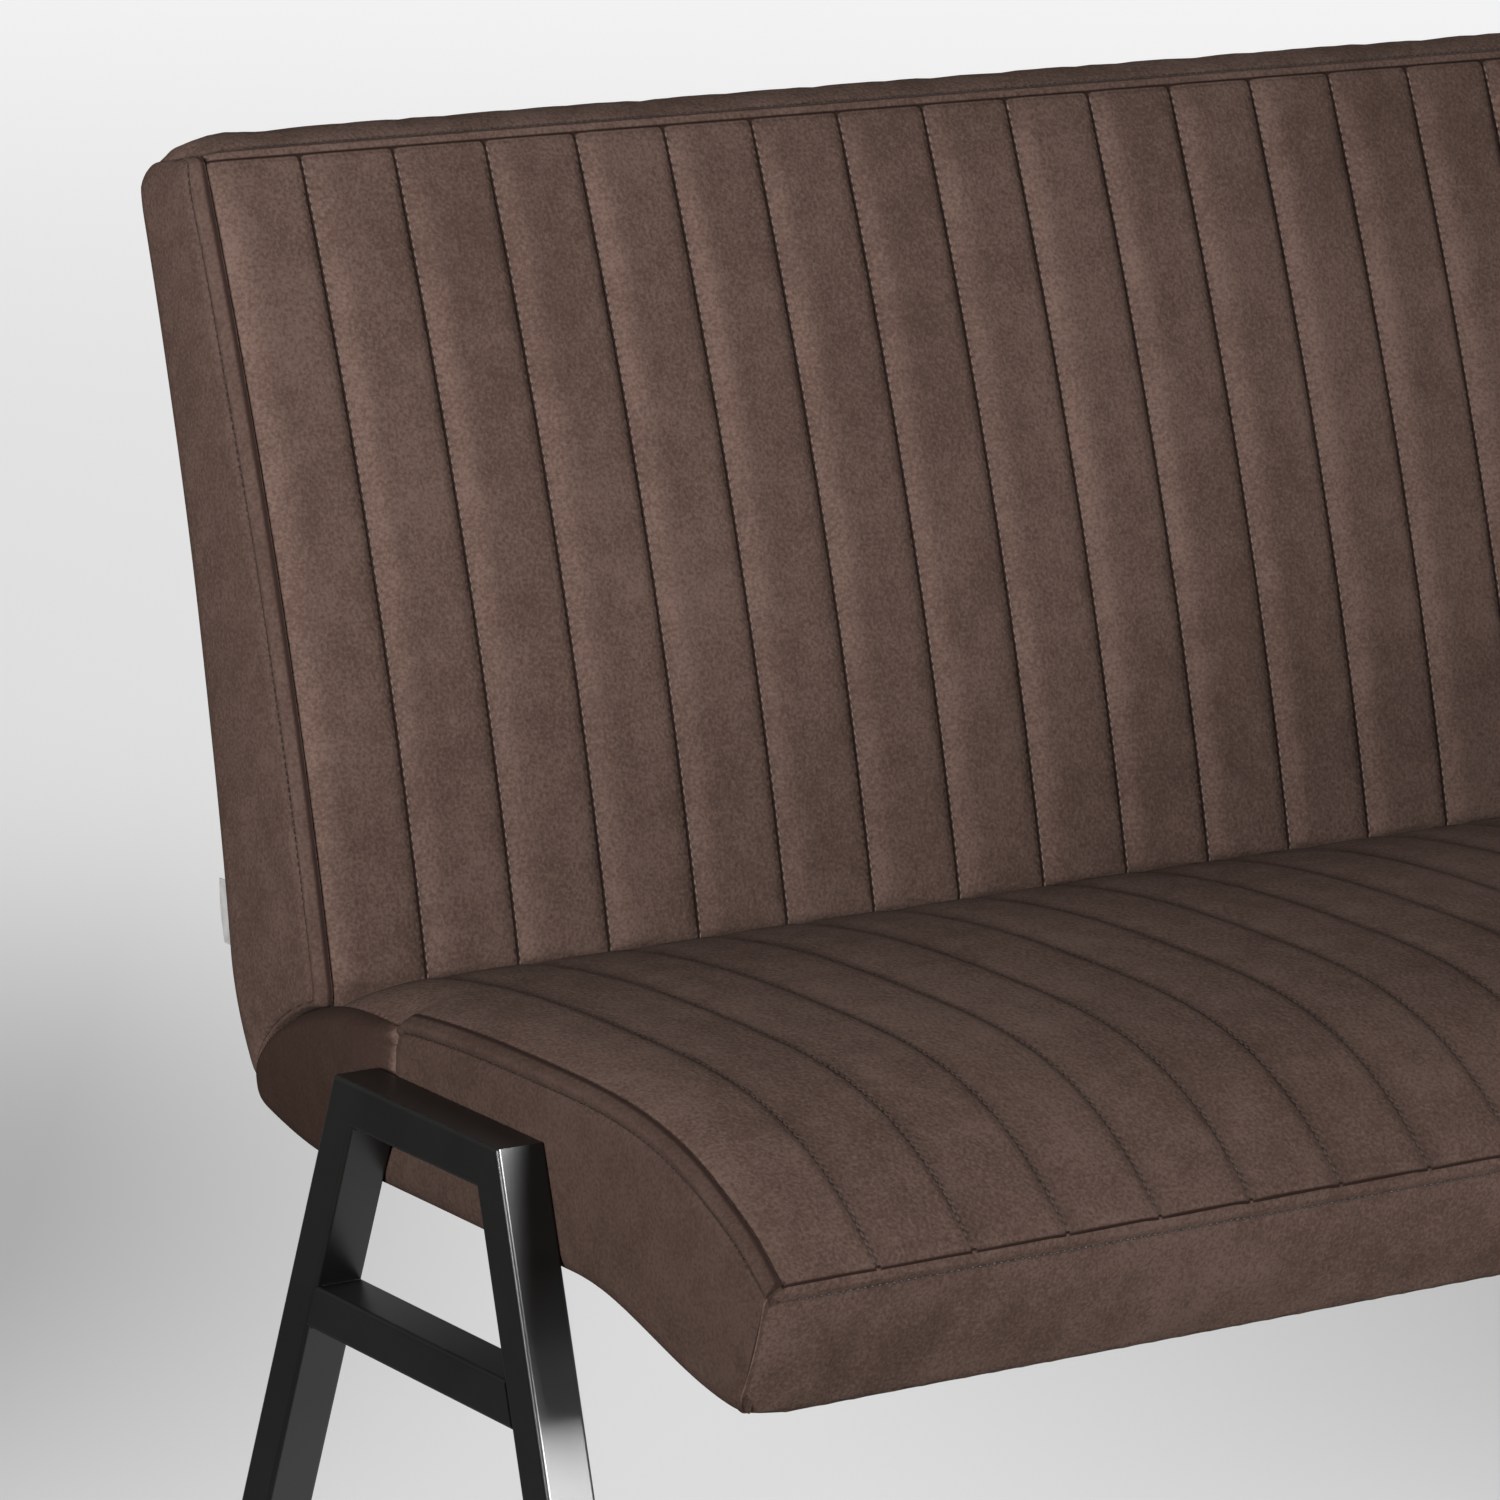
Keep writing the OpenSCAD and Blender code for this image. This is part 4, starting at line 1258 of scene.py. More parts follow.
@dataclass
class ChannelledCover:
    """Common part of the seat's and the back's channelled covers.

    The swell is the size, height and seed of its unevenness. A seam's stitches lie shift channels beside it
    and lift above the cloth, up to the row last_row.
    """

    name: str
    node: str
    stitch_name: str
    seed: int
    swell: tuple[float, float, float]
    shift: float
    lift: float
    last_row: int
    rows: int
    dense_end: float
    channels: int = 29
    pitch: float = PROFILE.channel_pitch
    thickness: float = 0.016
    rise: float = 0.0056
    left_straight: float = 0.008
    left_reach: float = 0.0145
    right_reach: float = 0.0095
    lean: float = 0.40
    end_share: float = 0.35
    end_run: float = 0.035
    side_share: float = 0.7
    held_reach: float = 0.012
    seam_shade_ease: float = 0.0
    # Painted shade beside each channel seam: how dark, and how far it reaches, on each side of the seam.
    right_painted_shade: float = 0.0
    right_painted_shade_reach: float = 0.0095
    left_painted_shade: float = 0.0
    left_painted_shade_reach: float = 0.0040
    fill: float = 0.7
    half_steps: tuple[float, ...] = (0.0, 0.012, 0.03, 0.06, 0.10, 0.16, 0.25, 0.37)

    @property
    def half_len(self) -> float:
        """Half of the cover's length."""
        return self.channels * self.pitch / 2

    @property
    def stride(self) -> int:
        """Columns to one channel."""
        return 2 * len(self.half_steps)

    def columns(self) -> Array:
        """Shares of a channel where its columns lie, for all channels in one row."""
        one = list(self.half_steps) + [0.5] + [1 - s for s in reversed(self.half_steps[1:])]
        places = [c + s for c in range(self.channels) for s in one]
        return np.array(places + [float(self.channels)])

    def pillow(self, place: Array) -> Array:
        """Share of the rise across a channel: fullest near its left seam and leaning to the right."""
        from_left = (place % 1.0) * self.pitch
        from_right = self.pitch - from_left
        middle = self.pitch - self.left_reach - self.right_reach
        lean = 1 - self.lean * clamp01((from_left - self.left_reach) / middle)
        left = flank(from_left, self.left_straight, self.left_reach)
        return left * lean * flank(from_right, 0.0, self.right_reach)

    def pile(self, place: Array) -> Array:
        """Painted shade across a channel, darkest beside its seams, from 0 to 1."""
        from_left = (place % 1.0) * self.pitch
        right = self.right_painted_shade * bell(from_left, self.right_painted_shade_reach)
        return np.maximum(right, self.left_painted_shade * bell(self.pitch - from_left, self.left_painted_shade_reach))

    def seam_distance(self, place: Array) -> Array:
        """Distance to the nearest sewn seam."""
        t = place % 1.0
        return np.minimum(t, 1 - t) * self.pitch

    def end_distance(self, x: Array) -> Array:
        """Distance to the seam at the nearer end of the cover."""
        return self.half_len - np.abs(x)

    def at_end(self, x: Array) -> Array:
        """How close places are to the nearer end, from 0 a channel away to 1."""
        return (1 - clamp01(self.end_distance(x) / self.pitch)) ** 2

    def line(self) -> Array:
        """Side view of the seams, a point for each row."""
        raise NotImplementedError

    def row_seams(self, run: Array) -> Array:
        """Distance from each row to the seams along the cover's long edges."""
        raise NotImplementedError

    def surface(self, place: Array, lift: float = 0.0) -> tuple[Array, Array]:
        """Points and side-view normals of the cover at channel places.

        Args:
            place: places along the bench, in channels.
            lift: extra height over the cloth.

        Returns:
            Points, rows by places, and the cover's normals as y and z for each row.
        """
        raise NotImplementedError

    def laid(self, x: Array, line: Array, normal: Array, height: Array, fall: Array | float = 0.0) -> Array:
        """Lays the cloth over its side view and draws it in at the bench's ends.

        Args:
            x: places along the bench.
            line: side view, a point for each row.
            normal: its normals.
            height: height of the cloth over it, rows by places.
            fall: how far the cloth lies below that.

        Returns:
            Points, rows by places.
        """
        side = SEWING.dip(self.end_distance(x))[None, :]
        height = height - self.side_share * side
        drawn = x[None, :] - np.sign(x)[None, :] * SEWING.end_gap * side / SEWING.groove
        raised = line[:, 1:2] + normal[:, 1:2] * height - fall
        return PROFILE.place(drawn, line[:, 0:1] + normal[:, 0:1] * height, raised)

    def build(self, finishes: Finishes) -> bpy.types.Object:
        """Makes the cover.

        Args:
            finishes: the bench's materials.

        Returns:
            The finished object.
        """
        place = self.columns()
        outer, normal = self.surface(place)
        swell = ripple(outer, *self.swell) * smooth(self.seam_distance(place) / self.held_reach)[None, :]
        outer[..., 1] += swell * normal[:, 0:1]
        outer[..., 2] += swell * normal[:, 1:2]
        line = self.line()
        low = line - normal * self.thickness
        x = (place * self.pitch - self.half_len)[:: self.stride]
        inner = PROFILE.place(x[None, :], low[:, 0:1], low[:, 1:2])
        run = arc_lengths(line)
        # The eased distance narrows the painted crease shade and the puckers beside the channel seams.
        eased = self.seam_distance(place) + self.seam_shade_ease
        sewing = sewing_map(np.minimum(eased[None, :], self.row_seams(run)[:, None]), run[:, None], 1.0)
        # Painted shade beside the channel seams.
        nap = np.broadcast_to(self.pile(place), outer.shape[:2])
        cloth = ClothMesh(self.name, outer, inner, self.stride)
        return cloth.finish(finishes.suede, self.node, sewing, nap)

    def stitch(self, tree: bpy.types.NodeTree, thread: bpy.types.Material) -> bpy.types.Object:
        """Sews the channels.

        Args:
            tree: the node tree that lays stitches.
            thread: material of the thread.

        Returns:
            The finished stitches.
        """
        row = StitchRow(self.stitch_name, self.seed)
        for c in range(1, self.channels):
            line, normal = self.surface(np.array([c + self.shift]), self.lift)
            up = np.concatenate([np.zeros((len(normal), 1)), normal], axis=1)
            row.add(line[2 : self.last_row, 0], up[2 : self.last_row])
        return row.sew(tree, thread)


@dataclass
class SeatCover(ChannelledCover):
    """Channelled top of the seat, from the front seam to the crease."""

    name: str = "seat_cover_quilted"
    node: str = "seat_channel_cover"
    stitch_name: str = "seat_channel_stitches"
    seed: int = 11
    swell: tuple[float, float, float] = (0.16, 0.0011, 3.1)
    shift: float = -0.010
    lift: float = 0.0001
    last_row: int = -3
    rows: int = 104
    dense_end: float = 0.45
    rise: float = 0.0022
    left_straight: float = 0.0
    left_reach: float = 0.030
    right_reach: float = 0.009
    lean: float = 0.0
    right_painted_shade: float = 0.24
    left_painted_shade: float = 0.14
    seam_shade_ease: float = 0.0011
    rear_share: float = 0.55
    crease_gap: float = 0.0003
    crease_dip: float = 0.0030
    crease_reach: float = 0.004

    def line(self) -> Array:
        """Side view of the seams, from front to rear, closer together at the front."""
        seams = PROFILE.seat_line(-PROFILE.seat_front, PROFILE.back_foot - self.crease_gap, 400)
        return resampled(seams, self.rows, self.dense_end)

    def row_seams(self, run: Array) -> Array:
        """Distance from each row to the front seam or the crease."""
        return np.minimum(run, run[-1] - run)

    def surface(self, place: Array, lift: float = 0.0) -> tuple[Array, Array]:
        """Points and side-view normals of the seat at channel places.

        Args:
            place: places along the bench, in channels.
            lift: extra height over the cloth.

        Returns:
            Points, rows by places, and the seat's normals as y and z for each row.
        """
        line = self.line()
        y = line[:, 0]
        normal = PROFILE.seat_normal(y)
        x = place * self.pitch - self.half_len
        front = arc_lengths(line)
        rear = front[-1] - front
        fade = self.end_share + (1 - self.end_share) * smooth(front / self.end_run)
        fade = fade * (self.rear_share + (1 - self.rear_share) * smooth(rear / self.end_run))
        dip = SEWING.dip(front)[:, None] + self.crease_dip * fading(rear, self.crease_reach)[:, None]
        height = self.rise * np.outer(fade, self.pillow(place)) + lift - dip
        fall = np.outer(PROFILE.seat_z(y) - PROFILE.side_top_z(y), self.at_end(x))
        return self.laid(x, line, normal, height, fall), normal


@dataclass
class BackCover(ChannelledCover):
    """Channelled front of the back, from the crease to the top seam."""

    name: str = "back_cover_quilted"
    node: str = "back_channel_cover"
    stitch_name: str = "back_channel_stitches"
    seed: int = 12
    swell: tuple[float, float, float] = (0.18, 0.0010, 8.3)
    shift: float = 0.018
    lift: float = 0.0003
    last_row: int = -2
    rows: int = 108
    dense_end: float = 0.35
    edge_drop: float = 0.0010
    foot_rise: float = 0.60
    foot_start: float = 0.02
    foot_run: float = 0.30
    tuck: float = 0.010
    tuck_gap: float = 0.0004
    tuck_reach: float = 0.004

    def line(self) -> Array:
        """Side view of the seams, from the crease up."""
        z = np.linspace(PROFILE.foot_z - self.tuck, PROFILE.back_top, 400)
        y = np.where(z < PROFILE.foot_z, PROFILE.back_foot + self.tuck_gap, PROFILE.back_y(z))
        return resampled(np.stack([y, z], axis=1), self.rows, self.dense_end)

    def row_seams(self, run: Array) -> Array:
        """Distance from each row to the top seam."""
        return run[-1] - run

    def surface(self, place: Array, lift: float = 0.0) -> tuple[Array, Array]:
        """Points and side-view normals of the back at channel places.

        Args:
            place: places along the bench, in channels.
            lift: extra height over the cloth.

        Returns:
            Points, rows by places, and the back's normals as y and z for each row.
        """
        line = self.line()
        normal = PROFILE.back_normal(line[:, 1])
        x = place * self.pitch - self.half_len
        foot = arc_lengths(line)
        top = foot[-1] - foot
        above = foot - self.tuck
        fade = self.end_share + (1 - self.end_share) * smooth(top / self.end_run)
        fuller = self.foot_rise + (1 - self.foot_rise) * clamp01((above - self.foot_start) / self.foot_run)
        fade = fade * fuller * smooth(above / self.tuck_reach)
        height = self.rise * np.outer(fade, self.pillow(place)) + lift
        middle = np.sin(np.pi * clamp01(foot / foot[-1]))
        height = height - self.edge_drop * np.outer(middle, self.at_end(x)) - SEWING.dip(top)[:, None]
        return self.laid(x, line, normal, height), normal


@dataclass(frozen=True)
class PanelGrid:
    """Flat grid of an end panel: side view places and distances to its edges."""

    y: Array
    z: Array
    from_low: Array
    from_top: Array
    run: Array

    @property
    def to_end(self) -> Array:
        """Distance from each row to the last one."""
        return self.run[-1] - self.run

    @property
    def seams(self) -> Array:
        """Distance to the topstitching or to the nearest other edge."""
        across = np.minimum(self.from_top - SEWING.topstitch_inset, self.from_low)
        return np.minimum(across, np.minimum(self.run, self.to_end))

    def swell(self, scale: float, height: float, seed: float) -> Array:
        """Unevenness of the padding over the grid, as ripple gives it."""
        return ripple(PROFILE.place(np.array(0.0), self.y, self.z), scale, height, seed)


@dataclass
class EndPanels:
    """Padded panels that close the ends of the seat and of the back."""

    half_len: float = PROFILE.half_len
    padding: float = 0.008
    fill: float = 0.6
    edge_radius: float = 0.016
    under_radius: float = 0.012
    seat_end_least: float = 0.1
    back_end_least: float = 0.15
    back_end_radius: float = 0.03
    back_end_start: float = 0.001
    seat_swell: tuple[float, float] = (0.10, 0.0012)
    back_swell: tuple[float, float] = (0.12, 0.0008)
    lobe_extra: float = 0.0065
    lobe_edge: float = 0.009
    lobe_start: float = 0.012
    lobe_run: float = 0.035
    lobe_z: float = -0.012
    lobe_height: float = 0.034
    pinch_depth: float = 0.90
    pinch_front: float = 0.0035
    pinch_rear: float = 0.0100
    pinch_low: float = -0.055
    pinch_fade: float = 0.035
    strip_shift: float = 0.006
    strip_width: float = 0.005
    corner_drop: float = 0.0005
    corner_start: float = 0.018
    corner_fade: float = 0.045
    lobe_crease_shade_ease: float = 0.006
    # Painted shade over the seat panel, its lobe and the back's band, from 0 to 1.
    panel_painted_shade: float = 0.62
    lobe_painted_shade: float = 0.88
    band_painted_shade: float = 0.38
    least: float = 0.0004
    seam_share: float = 0.5
    hidden_gap: float = 0.0001
    held_reach: float = 0.012
    clear_reach: float = 0.004
    frame_room: float = 0.0081
    frame_slope: float = 0.35
    frame_half: float = 0.079
    frame_lean: float = 17.8
    frame_tube: float = 0.025
    roll_end_deg: float = 6.0
    crown_rows: int = 81
    crown_middle: int = 36
    crown_skip: int = 6
    across: int = 44
    topstitch: StitchRow = field(default_factory=lambda: topstitch_row("end_panel_topstitch", 21))

    def _edges_seat(self, count: int) -> tuple[Array, Array]:
        """Edges of the seat's panel, from the front to the roll's tip.

        Args:
            count: points of each edge.

        Returns:
            The lower and the upper edge, as y and z.
        """
        y = np.linspace(-PROFILE.seat_front, PROFILE.roll_mid, 160)
        top = np.stack([y, PROFILE.side_top_z(y)], axis=1)
        angles = np.radians(np.linspace(90, self.roll_end_deg, 60))[1:]
        top = resampled(np.concatenate([top, PROFILE.roll_point(angles)]), count)
        share = (top[:, 0] + PROFILE.seat_front) / (top[-1, 0] + PROFILE.seat_front)
        low_y = PROFILE.band_low_y * (1 - share) + (PROFILE.roll_rear - 0.003) * share
        return np.stack([low_y, PROFILE.under_z(low_y)], axis=1), top

    def _edges_back(self, count: int) -> tuple[Array, Array]:
        """Edges of the back's band, from the roll to the crown.

        Args:
            count: points of each edge.

        Returns:
            The rear and the front edge, as y and z.
        """
        crease = math.acos((PROFILE.back_foot - PROFILE.roll_mid) / (PROFILE.roll_rear - PROFILE.roll_mid))
        heel = PROFILE.roll_point(np.linspace(math.radians(self.roll_end_deg), crease, 40))
        crown = PROFILE.crown_line(self.crown_rows)[1]
        front = PROFILE.back_line(PROFILE.foot_z, PROFILE.back_top, 200)
        front = np.concatenate([heel, front, crown[1 : self.crown_middle]])
        rear = PROFILE.rear_line(PROFILE.roll_tip + 0.001, PROFILE.corner_z, 240)
        rear = np.concatenate([rear, crown[self.crown_middle + self.crown_skip : -1][::-1]])
        return resampled(rear, count), resampled(front, count)

    def _grid(self, low: Array, top: Array) -> PanelGrid:
        """Spreads a panel's grid between its two edges.

        Args:
            low: its lower or rear edge.
            top: its upper or front edge.

        Returns:
            The grid, a row for each point of the edges.
        """
        v = np.linspace(0, 1, self.across)
        v = 0.35 * v + 0.65 * smooth(v)
        flat = low[:, None, :] + (top - low)[:, None, :] * v[None, :, None]
        width = np.linalg.norm(top - low, axis=1)[:, None]
        run = arc_lengths((low + top) / 2)[:, None]
        return PanelGrid(flat[..., 0], flat[..., 1], width * v[None, :], width * (1 - v)[None, :], run)

    def _points(
        self, side: Side, grid: PanelGrid, depth: Array, drop: Array | float = 0.0
    ) -> tuple[Array, Array]:
        """Points of a panel on its two sides.

        Args:
            side: the end of the bench.
            grid: the panel's flat grid.
            depth: how far the panel stands out.
            drop: how far it lies below its grid.

        Returns:
            The outer and the inner points.
        """
        outer = PROFILE.place(side.value * (self.half_len + depth), grid.y, grid.z - drop)
        inside = np.array(side.value * (self.half_len + self.hidden_gap))
        return outer, PROFILE.place(inside, grid.y, grid.z - drop)

    def seat_panel(self, side: Side, finishes: Finishes) -> bpy.types.Object:
        """Makes the panel at one end of the seat, with the roll's lobe and the pinched fold.

        Args:
            side: the end of the bench.
            finishes: the bench's materials.

        Returns:
            The finished object.
        """
        low, top = self._edges_seat(150)
        grid = self._grid(low, top)
        y, z, run, from_low, from_top = grid.y, grid.z, grid.run, grid.from_low, grid.from_top
        v = from_low / (from_low + from_top)
        lobe_side = smooth((y - PROFILE.pinch_y) / self.lobe_start)
        shoulder = self.edge_radius + (self.lobe_edge - self.edge_radius) * lobe_side
        rounded = quarter(grid.to_end, self.edge_radius)
        bulge = quarter(from_top, shoulder) * quarter(from_low, self.under_radius)
        bulge = bulge * (self.seat_end_least + (1 - self.seat_end_least) * rounded)
        valley = y - (PROFILE.pinch_y - self.strip_shift)
        width = np.where(valley < 0, self.pinch_front, self.pinch_rear)
        high = smooth((z - self.pinch_low) / self.pinch_fade)
        pinch = self.pinch_depth * bell(valley, width) * high
        lobe = self.lobe_extra * smooth(valley / self.lobe_run) * bell(z - self.lobe_z, self.lobe_height)
        depth = self.padding * bulge * (1 - pinch) + lobe * bulge
        depth = depth + grid.swell(*self.seat_swell, 5.0 + side.value) * bulge
        depth = depth - SEWING.topstitched(from_top) * (1 - lobe_side)
        reach = SEWING.groove_reach
        depth = depth - self.seam_share * SEWING.groove * (fading(from_top, reach) + fading(run, reach))
        room = self._room(y, z)
        depth = np.minimum(np.maximum(depth, self.least), room)
        drop = self.corner_drop * (1 - v) ** 3 * smooth(run / self.corner_start)
        drop = drop * fading(run, self.corner_fade)
        outer, inner = self._points(side, grid, depth, drop)
        # Behind the pinch the seam distance is eased out, so less painted crease shade lies along the lobe's
        # top edge.
        near = np.minimum(SEWING.near(from_top) + self.lobe_crease_shade_ease * lobe_side, run)
        # Painted shade: darker over the panel ahead of the pinch and darker still over the lobe behind it,
        # leaving a lighter strip at the pinch above pinch_low.
        ahead = self.panel_painted_shade * smooth(-(valley + 0.3 * self.strip_width) / self.strip_width)
        behind = self.lobe_painted_shade * smooth((valley - 0.6 * self.strip_width) / self.strip_width)
        nap = np.maximum(ahead + behind, self.panel_painted_shade * (1 - high))
        clear = smooth((room - self.frame_room) / self.clear_reach)
        free = FILLING.loose(grid.seams, self.held_reach) * clear
        piece = ClothMesh(f"{side.word}_seat_end_pad", outer, inner).finish(
            finishes.suede,
            f"{side.word}_seat_side_panel",
            sewing_map(near, run, SEWING.pucker),
            nap,
            free,
        )
        last = int(np.searchsorted(top[:, 0], PROFILE.pinch_y - PROFILE.pinch_reach))
        self._topstitch(side, outer, from_top, range(4, last))
        return piece

    def back_band(self, side: Side, finishes: Finishes) -> bpy.types.Object:
        """Makes the band at one end of the back.

        Args:
            side: the end of the bench.
            finishes: the bench's materials.

        Returns:
            The finished object.
        """
        grid = self._grid(*self._edges_back(170))
        run, from_low, from_top = grid.run, grid.from_low, grid.from_top
        rounded = self.back_end_least + (1 - self.back_end_least) * quarter(run, self.edge_radius)
        bulge = quarter(from_top, self.edge_radius) * quarter(from_low, self.edge_radius) * rounded
        bulge = bulge * quarter(grid.to_end + self.back_end_start, self.back_end_radius)
        depth = self.padding * bulge + grid.swell(*self.back_swell, 9.0 + side.value) * bulge
        depth = depth - SEWING.topstitched(from_top)
        reach = SEWING.groove_reach
        dip = self.seam_share * SEWING.groove * (fading(from_top, reach) + fading(from_low, reach))
        outer, inner = self._points(side, grid, np.maximum(depth - dip, self.least))
        near = np.minimum(SEWING.near(from_top), from_low)
        piece = ClothMesh(f"{side.word}_back_end_pad", outer, inner).finish(
            finishes.suede,
            f"{side.word}_back_side_band",
            sewing_map(near, run, SEWING.pucker),
            # Painted shade over the whole band.
            np.full(near.shape, self.band_painted_shade),
            FILLING.loose(grid.seams, self.held_reach),
        )
        self._topstitch(side, outer, from_top, range(34, 160))
        return piece

    def _room(self, y: Array, z: Array) -> Array:
        """Most that the panel may stand out: up to the leg frame where that lies, and more round it.

        Args:
            y: side view places.
            z: side view heights.

        Returns:
            The room at each place.
        """
        lean = math.radians(self.frame_lean)
        outer = self.frame_half - z * math.tan(lean)
        inner = outer - self.frame_tube / math.cos(lean)
        legs = np.maximum(np.abs(y) - outer, inner - np.abs(y))
        rail = np.maximum(np.abs(y) - outer, -self.frame_tube - z)
        beside = np.maximum(np.minimum(legs, rail), z)
        return self.frame_room + self.frame_slope * np.maximum(beside, 0.0)

    def _topstitch(self, side: Side, outer: Array, from_top: Array, rows: range) -> None:
        """Notes where a panel's topstitching goes.

        Args:
            side: the end of the bench.
            outer: the panel's outer points.
            from_top: their distances from the upper seam.
            rows: the rows that have topstitches.
        """
        inset = SEWING.topstitch_inset
        line = []
        for i in rows:
            order = np.argsort(from_top[i])
            line.append([np.interp(inset, from_top[i][order], outer[i, order, k]) for k in range(3)])
        up = unit(np.tile([side.value * 0.8, -0.5, 0.2], (len(line), 1)))
        self.topstitch.add(np.array(line) + up * SEWING.thread_lift, up)

    def stitch(self, tree: bpy.types.NodeTree, finishes: Finishes) -> bpy.types.Object:
        """Sews the topstitching of all end panels."""
        return self.topstitch.sew(tree, finishes.topstitch)


@dataclass
class LongBands:
    """Plain pieces that run the whole length: front band, top band, rear cover and dust cover."""

    half_len: float = PROFILE.half_len
    columns: int = 175
    end_columns: float = 0.18
    band_crown: float = 0.003
    band_fill: float = 0.6
    rear_t: float = 0.007
    rear_fill: float = 0.4
    top_round: float = 0.040
    top_t: float = 0.006
    hem_round: float = 0.008
    hem_drop: float = 0.0075
    corner_hem: float = 0.0040
    corner_reach: float = 0.030
    corner_start: float = 0.6
    padding: float = 0.008
    edge_radius: float = 0.016
    under_radius: float = 0.012
    thin: float = 0.0010
    thicker: float = 0.0035
    seam_share: float = 0.5
    side_share: float = 0.7
    held_reach: float = 0.015
    dust_front: float = 0.010
    dust_rear: float = 0.0073
    dust_gap: float = 0.0006
    dust_t: float = 0.0008
    topstitch: StitchRow = field(default_factory=lambda: topstitch_row("long_band_topstitch", 22))
    staples: StitchRow = field(default_factory=lambda: StitchRow(
        "dust_cover_staples", 31, pitch=0.040, length=0.0110, width=0.0014, height=0.0009
    ))

    def _x(self) -> Array:
        """Places of the columns, closer together at the ends."""
        u = np.linspace(-1, 1, self.columns)
        return self.half_len * ((1 - self.end_columns) * u + self.end_columns * np.sin(0.5 * np.pi * u))

    def _end(self, x: Array) -> Array:
        """Distance to the seam at the nearer end of the bench."""
        return self.half_len - np.abs(x)

    def _free(self, run: Array, end: Array) -> Array:
        """How freely a topstitched band moves in the simulation."""
        seams = np.minimum(run - SEWING.topstitch_inset, run[-1] - run)[:, None]
        return FILLING.loose(np.minimum(seams, end), self.held_reach)

    def _mark(self, outer: Array, run: Array, up: Array, spare: int) -> None:
        """Notes where a band's topstitching goes.

        Args:
            outer: the band's outer points.
            run: distance of its rows from the seam.
            up: the cloth's normal under the stitches.
            spare: columns without stitches at each end.
        """
        inset = SEWING.topstitch_inset
        j = int(np.searchsorted(run, inset))
        share = (inset - run[j - 1]) / (run[j] - run[j - 1])
        line = (outer[j - 1] + (outer[j] - outer[j - 1]) * share)[spare:-spare]
        self.topstitch.add(line + up * SEWING.thread_lift, np.tile(up, (len(line), 1)))

    def front_band(self, finishes: Finishes) -> bpy.types.Object:
        """Makes the band under the seat's front seam, rolled under at its lower edge.

        Args:
            finishes: the bench's materials.

        Returns:
            The finished object.
        """
        seam = np.array([-PROFILE.seat_front, float(PROFILE.seat_z(np.array(-PROFILE.seat_front)))])
        low = np.array([PROFILE.band_low_y, float(PROFILE.under_z(np.array(PROFILE.band_low_y)))])
        down = unit(low - seam)
        out = np.array([down[1], -down[0]])
        u = np.linspace(0, 1, 60)[:, None]
        turn = low + down * (self.hem_drop - self.hem_round)
        face = seam + (turn - seam) * u + out * self.band_crown * np.sin(np.pi * u)
        angle = np.linspace(0, 0.5 * np.pi, 16)[1:, None]
        hem = turn - out * self.hem_round * (1 - np.cos(angle)) + down * self.hem_round * np.sin(angle)
        path = resampled(np.concatenate([face, hem]), 48, 0.2)
        run = arc_lengths(path)
        v = clamp01(run / run[-1])[:, None]
        x = self._x()
        end = self._end(x)[None, :]
        dip = (SEWING.dip(run) + self.seam_share * SEWING.topstitched(run))[:, None] + SEWING.dip(end)
        grid = PROFILE.place(x[None, :], path[:, 0:1], path[:, 1:2])
        shift = ripple(grid, 0.20, 0.0009, 14.2) * smooth(run / 0.02)[:, None] - dip
        at_end = 1 - smooth(end / self.corner_reach)
        low_share = smooth((v - self.corner_start) / (1 - self.corner_start))
        lift = (self.hem_drop - self.corner_hem) * low_share * at_end
        yy = path[:, 0:1] + out[0] * shift - down[0] * lift
        zz = path[:, 1:2] + out[1] * shift - down[1] * lift
        from_low = float(np.linalg.norm(low - seam)) - run
        rounding = quarter(run, self.edge_radius) * quarter(from_low, self.under_radius)
        xx = x[None, :] + np.sign(x)[None, :] * (self.padding * rounding[:, None]) * at_end
        outer = PROFILE.place(xx, yy, zz)
        depth = self.thin + self.thicker * clamp01((1 - v) / 0.12) * smooth(end / 0.02)
        inner = PROFILE.place(xx, yy - out[0] * (depth + shift), zz - out[1] * (depth + shift))
        sewing = sewing_map(np.minimum(SEWING.near(run)[:, None], end), x[None, :], SEWING.pucker)
        piece = ClothMesh("front_band_pad", outer, inner).finish(
            finishes.suede, "seat_front_band", sewing, free=self._free(run, end)
        )
        self._mark(outer, run, np.array([0.0, out[0], out[1]]), 2)
        return piece

    def top_band(self, finishes: Finishes) -> bpy.types.Object:
        """Makes the rounded band along the top of the back.

        Args:
            finishes: the bench's materials.

        Returns:
            The finished object.
        """
        x = self._x()
        end = self._end(x)
        fall = PROFILE.top_fall
        plain, lowered = PROFILE.crown_line(34)
        run = arc_lengths(plain)
        share = (fall * (1 - quarter(end, self.top_round)) / fall)[None, :]
        inwards = unit(np.array([np.mean(plain[:, 0]), PROFILE.corner_z]) - plain)
        dip = SEWING.groove * (fading(run, SEWING.groove_reach) + fading(run[-1] - run, SEWING.groove_reach))
        dip = dip + SEWING.topstitched(run)
        depth = dip[:, None] + self.seam_share * SEWING.dip(end)[None, :]
        yy = plain[:, 0:1] + (lowered - plain)[:, 0:1] * share + inwards[:, 0:1] * depth
        zz = plain[:, 1:2] + (lowered - plain)[:, 1:2] * share + inwards[:, 1:2] * depth
        outer = PROFILE.place(x[None, :], yy, zz)
        under = inwards * self.top_t
        inner = PROFILE.place(x[None, :], yy + under[:, 0:1], zz + under[:, 1:2])
        near = np.minimum(np.minimum(run, run[-1] - run)[:, None], end[None, :])
        sewing = sewing_map(near, x[None, :], SEWING.pucker)
        free = self._free(run, end[None, :])
        piece = ClothMesh("top_band_pad", outer, inner).finish(
            finishes.suede, "back_top_band", sewing, free=free
        )
        self._mark(outer, run, unit(np.array([0.0, -0.35, 0.94])), 4)
        return piece

